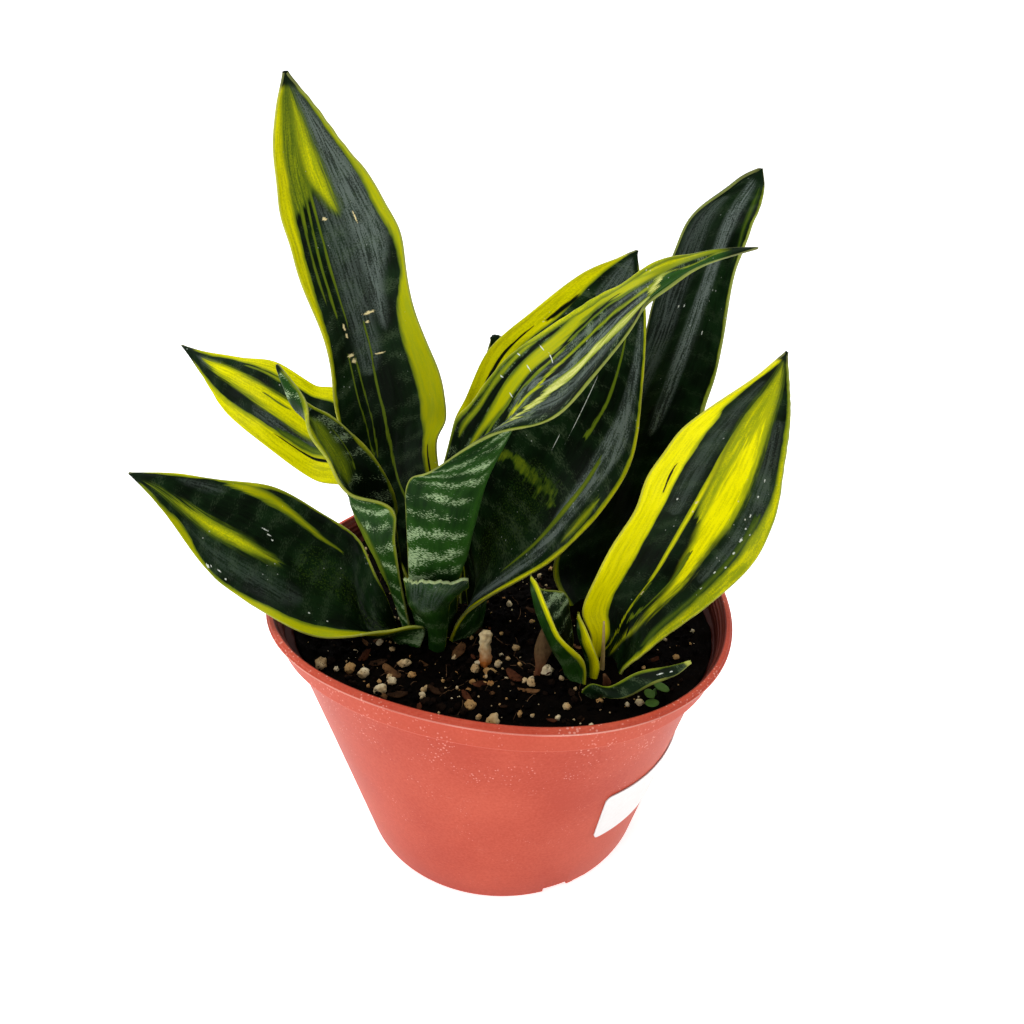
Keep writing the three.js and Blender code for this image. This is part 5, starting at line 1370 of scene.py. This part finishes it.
def build_fibres():
    """Coir and root fibres, 0.15 to 0.3 mm thick, that lie in shallow arcs on the mix."""
    draw = np.random.default_rng(23)
    soil = bpy.context.scene.snake_plant.soil
    parts, steps = [], 12
    for x, y in scattered(draw, soil.fibres, margin=12):
        length, turn = draw.uniform(5, 13), draw.uniform(0, 2 * math.pi)
        curl = draw.uniform(-0.25, 0.25)
        path = []
        for k in range(steps):
            way = length * (k / (steps - 1) - 0.5)
            px = x + way * math.cos(turn + curl * way / 4)
            py = y + way * math.sin(turn + curl * way / 4)
            path.append((px, py, soil_height(px, py) + 0.3 + 0.25 * math.sin(k * 0.9)))
        thickness = draw.uniform(0.08, 0.17)
        parts.append(tube(path, np.linspace(thickness, thickness * 0.6, steps), 5))
    piece("coir_fibres", joined(parts),
          [grain_material("Coir fibre", "4A3626", "6A5038", "241A12", 900)], "bark")


# ------------------------------------------------------------------ things that stand in the mix

def build_crowns():
    """The short fleshy stems keep their solid shape, deep among the leaf bases."""
    material, tree, shader = new_material("Fleshy stem", Roughness=0.55)
    where = add(tree, "TexCoord").outputs["Object"]
    _, shade = two_tone(tree, where, 300.0, 3.0, "5E6B32", "A7AE6C")
    fill(tree, shader, {"Base Color": shade})
    for name in CROWNS:
        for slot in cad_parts[name].material_slots:
            slot.material = material


def build_peg():
    """A peg of bark with a knobbly head, pale and weathered, stained orange at its foot."""
    at, sides = np.linspace(0, 1, 40), 28
    path = spline(np.array(PEG, float), at)
    radii = np.interp(at, np.linspace(0, 1, len(PEG_RADII)), PEG_RADII)
    radii[-6:] *= np.array([1.0, 0.97, 0.9, 0.76, 0.5, 0.15])
    vertices, faces = tube(path, radii, sides)
    knobs = np.array([noise.noise(Vector(v) * 0.8) for v in vertices])
    axis = np.repeat(path, sides, axis=0)
    vertices = axis + (vertices - axis) * (1 + 0.35 * knobs)[:, None]
    material, tree, shader = new_material("Weathered bark", Roughness=0.8,
                                          Specular_IOR_Level=0.1)
    where = add(tree, "TexCoord").outputs["Object"]
    part = add(tree, "SeparateXYZ", [where])
    grain, shade = two_tone(tree, where, 420.0, 4.0, "C4A064", "FAEABE")
    uneven = add(tree, "Math", [grain, 0.006, part.outputs[2]], operation="MULTIPLY_ADD")
    damp = add(tree, "MapRange", {"Value": uneven, "From Min": 0.095, "From Max": 0.0895})
    shade = add(tree, "Mix", [damp, shade, linear("A25C24")], data_type="RGBA")
    bump = add(tree, "Bump", {"Height": grain, "Strength": 0.8, "Distance": 0.3 * MM})
    fill(tree, shader, {"Base Color": shade, "Normal": bump})
    piece("bark_peg_weathered", (vertices, faces), [material], "bark", "bark_peg")


def dry_material():
    """Dead leaf: brown, papery and crinkled along its veins, redder where it is damp."""
    material, tree, shader = new_material("Dry leaf tissue", Roughness=0.8,
                                          Specular_IOR_Level=0.1)
    where = add(tree, "TexCoord").outputs["Object"]
    part = add(tree, "SeparateXYZ", [where])
    squeezed = add(tree, "Mapping", {"Vector": where, "Scale": (1.0, 1.0, 0.25)})
    veins, shade = two_tone(tree, squeezed, 1100.0, 3.0, "30200F", "7A6040")
    damp = add(tree, "MapRange", {"Value": part.outputs[2], "From Min": 0.0915,
                                  "From Max": 0.087, "To Max": 0.7})
    shade = add(tree, "Mix", [damp, shade, linear("5A2C1A")], data_type="RGBA")
    bump = add(tree, "Bump", {"Height": veins, "Strength": 0.8, "Distance": 0.25 * MM})
    fill(tree, shader, {"Base Color": shade, "Normal": bump})
    return material


def build_dry_things():
    material = dry_material()
    blade = Blade(DRY_LEAF, rows=60, columns=21)
    curled = blade.make("dry_leaf_curled", "dry_leaf", [material, material])
    settle(curled, "dry_leaf", "dry_leaf")
    at = np.linspace(0, 1, 24)
    sheath = tube(spline(np.array(BRACT, float), at), 1.6 - 1.1 * at ** 1.5, 20)
    piece("pup_bract_sheath", sheath, [material], "dry_leaf", "pup_bract")
    shoot = tube(spline(np.array(SPIKE, float), at), 0.9 - 0.6 * at, 12)
    tan, tree, shader = new_material("Dry shoot", Roughness=0.7, Specular_IOR_Level=0.1)
    where = add(tree, "TexCoord").outputs["Object"]
    _, shade = two_tone(tree, where, 500.0, 2.0, "A8864A", "E0C88C")
    fill(tree, shader, {"Base Color": shade})
    piece("dry_spike_shoot", shoot, [tan], "dry_leaf", "dry_spike")


def build_seedling():
    """A weed with three round leaves on hair-thin stalks."""
    top = SEEDLING_STEM[-1]
    parts = [tube(SEEDLING_STEM, [0.5, 0.45, 0.4], 10)]
    base, base_faces = lump_form(3)
    for centre, length, width, turn in SEEDLING_LEAVES:
        points = base * (length / 2, width / 2, 0.28)
        points[:, 2] += 0.5 * ((points[:, 0] / length) ** 2 + (points[:, 1] / width) ** 2)
        parts.append((turned_about_axis(points, turn) + centre, base_faces))
        middle = (np.array(top) + centre) / 2 - (0, 0, 0.3)
        parts.append(tube([top, middle, centre], [0.35, 0.3, 0.3], 8))
    material, tree, shader = new_material("Seedling leaf", Roughness=0.5,
                                          Specular_IOR_Level=0.1)
    where = add(tree, "TexCoord").outputs["Object"]
    cells, shade = two_tone(tree, where, 500.0, 3.0, "2A4A1C", "52702E")
    bump = add(tree, "Bump", {"Height": cells, "Strength": 0.3, "Distance": 0.1 * MM})
    fill(tree, shader, {"Base Color": shade, "Normal": bump})
    piece("weed_seedling_leaves", joined(parts), [material], "weed", "weed_seedling")


# ------------------------------------------------------------------ stage

# The white sweep, in metres: how far it reaches, where it starts to rise, its curve and its top.
SWEEP_REACH, SWEEP_BACK, SWEEP_CURVE, SWEEP_TOP = 6.0, 1.2, 0.9, 3.2


def area_light(name, at, towards, size, watts):
    """A soft box; places in metres from the pot's axis."""
    lamp = bpy.data.lights.new(name, "AREA")
    lamp.shape, lamp.size, lamp.size_y, lamp.energy = "RECTANGLE", size[0], size[1], watts
    holder = bpy.data.objects.new(name, lamp)
    bpy.context.scene.collection.objects.link(holder)
    holder.location = AXIS + Vector(at)
    holder.rotation_euler = (Vector(towards) - Vector(at)).to_track_quat("-Z", "Y").to_euler()


def build_stage():
    """A white sweep, an even sky and three soft boxes."""
    studio = bpy.context.scene.snake_plant.studio
    profile = [(-SWEEP_REACH, 0.0), (SWEEP_BACK, 0.0)]
    profile += [(SWEEP_BACK + SWEEP_CURVE * math.sin(a), SWEEP_CURVE * (1 - math.cos(a)))
                for a in np.linspace(0.1, math.pi / 2, 14)]
    profile.append((SWEEP_BACK + SWEEP_CURVE, SWEEP_TOP))
    vertices = [(x, y, z) for y, z in profile for x in (-SWEEP_REACH, SWEEP_REACH)]
    faces = [(2 * k, 2 * k + 1, 2 * k + 3, 2 * k + 2) for k in range(len(profile) - 1)]
    paper, *_ = new_material("White paper sweep", Roughness=0.9, Specular_IOR_Level=0.1,
                             Base_Color=(*linear("FAFAFA"), 1), Emission_Color=(1, 1, 1, 1),
                             Emission_Strength=studio.glow)
    sweep = new_object("paper_sweep", vertices, faces, [paper])

    sky = bpy.data.worlds.new("Studio sky")
    sky.use_nodes = True
    light = sky.node_tree.nodes["Background"]
    light.inputs["Color"].default_value = (1, 1, 1, 1)
    light.inputs["Strength"].default_value = studio.sky
    bpy.context.scene.world = sky
    area_light("soft_box_top", (-0.25, 0.15, 1.1), (0, 0, 0.1), (0.9, 0.9), studio.top)
    area_light("soft_box_front", (-0.9, -0.9, 0.8), (0, 0, 0.12), (0.7, 0.7), studio.front)
    area_light("soft_box_right", (1.0, -0.2, 0.6), (0, 0, 0.12), (0.4, 0.9), studio.side)
    bpy.context.scene.view_settings.view_transform = "Standard"


def build_camera():
    """The fitted camera: on the -Y side, looking down at the pot."""
    cos, sin = math.cos, math.sin
    spot = Vector((0, -CAMERA_DISTANCE * cos(CAMERA_ELEVATION),
                   CAMERA_HEIGHT_POINT + CAMERA_DISTANCE * sin(CAMERA_ELEVATION)))
    ahead = Vector((0, cos(CAMERA_ELEVATION), -sin(CAMERA_ELEVATION)))
    right = Vector((1, 0, 0))
    up = right.cross(ahead)
    ahead, right = (ahead * cos(CAMERA_PAN) + right * sin(CAMERA_PAN),
                    right * cos(CAMERA_PAN) - ahead * sin(CAMERA_PAN))
    ahead, up = (ahead * cos(CAMERA_TILT) + up * sin(CAMERA_TILT),
                 up * cos(CAMERA_TILT) - ahead * sin(CAMERA_TILT))
    right, up = (right * cos(CAMERA_ROLL) + up * sin(CAMERA_ROLL),
                 up * cos(CAMERA_ROLL) - right * sin(CAMERA_ROLL))
    lens = bpy.data.cameras.new("camera")
    lens.sensor_fit, lens.sensor_width = "HORIZONTAL", SENSOR
    lens.lens = FOCAL_PX / IMAGE_SIDE * SENSOR
    lens.clip_start, lens.clip_end = 0.01, 20
    camera = bpy.data.objects.new("camera", lens)
    bpy.context.scene.collection.objects.link(camera)
    turn = Matrix((right, up, -ahead)).transposed().to_4x4()
    camera.matrix_world = Matrix.Translation(AXIS + spot * MM) @ turn
    bpy.context.scene.camera = camera


# ------------------------------------------------------------------ add-on

def colour_setting(name, description, hex_colour):
    return bpy.props.FloatVectorProperty(name=name, description=description, subtype="COLOR",
                                         size=3, min=0, max=1, default=linear(hex_colour))


def number_setting(name, description, default, low, high, **kind):
    return bpy.props.FloatProperty(name=name, description=description, default=default, min=low,
                                   max=high, **kind)


def count_setting(name, description, default, high):
    return bpy.props.IntProperty(name=name, description=description, default=default, min=0,
                                 max=high)


class LeafSettings(bpy.types.PropertyGroup):
    green_deep: colour_setting("Deep green", "Inner face in the shade of its veins", "050D04")
    green: colour_setting("Green", "Inner face between the veins", "11260F")
    green_light: colour_setting("Light green", "Mottled patches of the inner face", "33541A")
    outer: colour_setting("Outer green", "Outer face", "102A0B")
    outer_light: colour_setting("Light outer green", "Outer face between its veins", "264D15")
    yellow_bright: colour_setting("Bright yellow", "The pup's stripes", "FFF800")
    yellow: colour_setting("Yellow", "Margins and stripes", "DEDA00")
    gold: colour_setting("Gold", "Dull yellow margins", "ADAE00")
    lime: colour_setting("Lime", "Stripes with a little green", "97A312")
    lime_deep: colour_setting("Deep lime", "Fringe of the yellow", "738414")
    olive: colour_setting("Olive", "Stripes with more green", "526616")
    olive_deep: colour_setting("Deep olive", "Fringe of the lime", "2C4312")
    cream: colour_setting("Cream", "Palest stripes", "CFD27A")
    rim: colour_setting("Rim", "Horny rim of the blade", "959A58")
    silver: colour_setting("Silver", "Cross bands of silvery cells", "B9D3A0")
    # Grey painted onto the leaves where highlights fall, as painted sheen.
    painted_sheen: colour_setting("Bloom", "Grey veil of wax", "69756E")
    scar: colour_setting("Scar", "Dry corky scars", "E2D29A")
    scorch: colour_setting("Scorch", "Brown dry tissue", "4E3A18")
    speck: colour_setting("Speck", "White specks and grazes", "D6DCD2")
    gloss: number_setting("Gloss", "Strength of the wax's shine", 0.05, 0, 1, subtype="FACTOR")
    roughness: number_setting("Roughness", "Of the waxy skin", 0.34, 0.1, 0.9, subtype="FACTOR")
    band_spacing: number_setting("Band spacing", "Between silver bands", 6.6 * MM, 2 * MM,
                                 30 * MM, unit="LENGTH", subtype="DISTANCE")


class PotSettings(bpy.types.PropertyGroup):
    plastic: colour_setting("Plastic", "Moulded colour", "B44430")
    plastic_pale: colour_setting("Pale plastic", "Where it is rubbed and dusty", "C65842")
    roughness: number_setting("Roughness", "Satin sheen of the mould", 0.42, 0.1, 0.9,
                              subtype="FACTOR")
    dust: number_setting("Dust", "Strength of the pale specks", 0.55, 0, 1, subtype="FACTOR")


class SoilSettings(bpy.types.PropertyGroup):
    peat: colour_setting("Peat", "Damp mix", "050302")
    peat_light: colour_setting("Light peat", "Drier crumbs and fibres", "0E0906")
    crumbs: count_setting("Crumbs", "Peat crumbs on the surface", 1900, 2400)
    perlite: count_setting("Perlite", "Small perlite grains", 560, 600)
    bark: count_setting("Bark", "Small bark chips", 90, 300)
    fibres: count_setting("Fibres", "Coir fibres", 60, 300)


class StudioSettings(bpy.types.PropertyGroup):
    sky: number_setting("Sky", "Even light from all round", 0.28, 0, 3)
    glow: number_setting("Glow", "Light that the white floor adds", 0.68, 0, 2)
    top: number_setting("Top box", "Soft box above", 8, 0, 200, unit="POWER")
    front: number_setting("Front box", "Soft box at the front left", 6, 0, 200, unit="POWER")
    side: number_setting("Side box", "Soft box at the right", 2.0, 0, 200, unit="POWER")


class SnakePlantSettings(bpy.types.PropertyGroup):
    leaf: bpy.props.PointerProperty(name="Leaf", description="Leaf finish", type=LeafSettings)
    pot: bpy.props.PointerProperty(name="Pot", description="Pot finish", type=PotSettings)
    soil: bpy.props.PointerProperty(name="Soil", description="Potting mix", type=SoilSettings)
    studio: bpy.props.PointerProperty(name="Studio", description="Lights", type=StudioSettings)


class SNAKEPLANT_OT_stage(bpy.types.Operator):
    """Set up the camera, the white sweep and the soft boxes"""
    bl_idname = "snake_plant.stage"
    bl_label = "Stage"

    def execute(self, context):
        build_camera()
        build_stage()
        return {"FINISHED"}


class SNAKEPLANT_OT_leaves(bpy.types.Operator):
    """Loft every leaf through its stations, with its own stripes"""
    bl_idname = "snake_plant.leaves"
    bl_label = "Leaves"

    def execute(self, context):
        build_leaves()
        return {"FINISHED"}


class SNAKEPLANT_OT_pot(bpy.types.Operator):
    """Turn the pot, cut its notches and drain holes"""
    bl_idname = "snake_plant.pot"
    bl_label = "Pot"

    def execute(self, context):
        build_pot()
        return {"FINISHED"}


class SNAKEPLANT_OT_label(bpy.types.Operator):
    """Lay the blank label on the pot's wall"""
    bl_idname = "snake_plant.label"
    bl_label = "Label"

    def execute(self, context):
        build_label()
        return {"FINISHED"}


class SNAKEPLANT_OT_soil(bpy.types.Operator):
    """Fill the pot with peat, perlite, bark chips and fibres"""
    bl_idname = "snake_plant.soil"
    bl_label = "Potting mix"

    def execute(self, context):
        build_soil()
        build_grains()
        build_bark()
        build_fibres()
        return {"FINISHED"}


class SNAKEPLANT_OT_crowns(bpy.types.Operator):
    """Give the short stems under the leaves their finish"""
    bl_idname = "snake_plant.crowns"
    bl_label = "Crowns"

    def execute(self, context):
        build_crowns()
        return {"FINISHED"}


class SNAKEPLANT_OT_dry_things(bpy.types.Operator):
    """Stand the bark peg, the dry leaf, the bract and the dry spike in the mix"""
    bl_idname = "snake_plant.dry_things"
    bl_label = "Peg and dry leaves"

    def execute(self, context):
        build_peg()
        build_dry_things()
        return {"FINISHED"}


class SNAKEPLANT_OT_seedling(bpy.types.Operator):
    """Grow the weed seedling at the front right"""
    bl_idname = "snake_plant.seedling"
    bl_label = "Weed seedling"

    def execute(self, context):
        build_seedling()
        return {"FINISHED"}


STEPS = [SNAKEPLANT_OT_stage, SNAKEPLANT_OT_leaves, SNAKEPLANT_OT_pot, SNAKEPLANT_OT_label,
         SNAKEPLANT_OT_soil, SNAKEPLANT_OT_crowns, SNAKEPLANT_OT_dry_things,
         SNAKEPLANT_OT_seedling]


class SNAKEPLANT_PT_panel(bpy.types.Panel):
    """Lists the plant's pieces and settings"""
    bl_idname = "SNAKEPLANT_PT_panel"
    bl_label = "Snake plant"
    bl_space_type = "VIEW_3D"
    bl_region_type = "UI"
    bl_category = "Snake plant"

    def draw(self, context):
        for step in STEPS:
            self.layout.operator(step.bl_idname)
        settings = context.scene.snake_plant
        for group in (settings.leaf, settings.pot, settings.soil, settings.studio):
            box = self.layout.box()
            for field in group.bl_rna.properties:
                if field.identifier not in ("rna_type", "name"):
                    box.prop(group, field.identifier)


CLASSES = [LeafSettings, PotSettings, SoilSettings, StudioSettings, SnakePlantSettings, *STEPS,
           SNAKEPLANT_PT_panel]


def register():
    for kind in CLASSES:
        bpy.utils.register_class(kind)
    bpy.types.Scene.snake_plant = bpy.props.PointerProperty(type=SnakePlantSettings)


def unregister():
    del bpy.types.Scene.snake_plant
    for kind in reversed(CLASSES):
        bpy.utils.unregister_class(kind)


def main():
    register()
    for step in STEPS:
        group, action = step.bl_idname.split(".")
        getattr(getattr(bpy.ops, group), action)()
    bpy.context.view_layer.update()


if __name__ == "__main__":
    main()
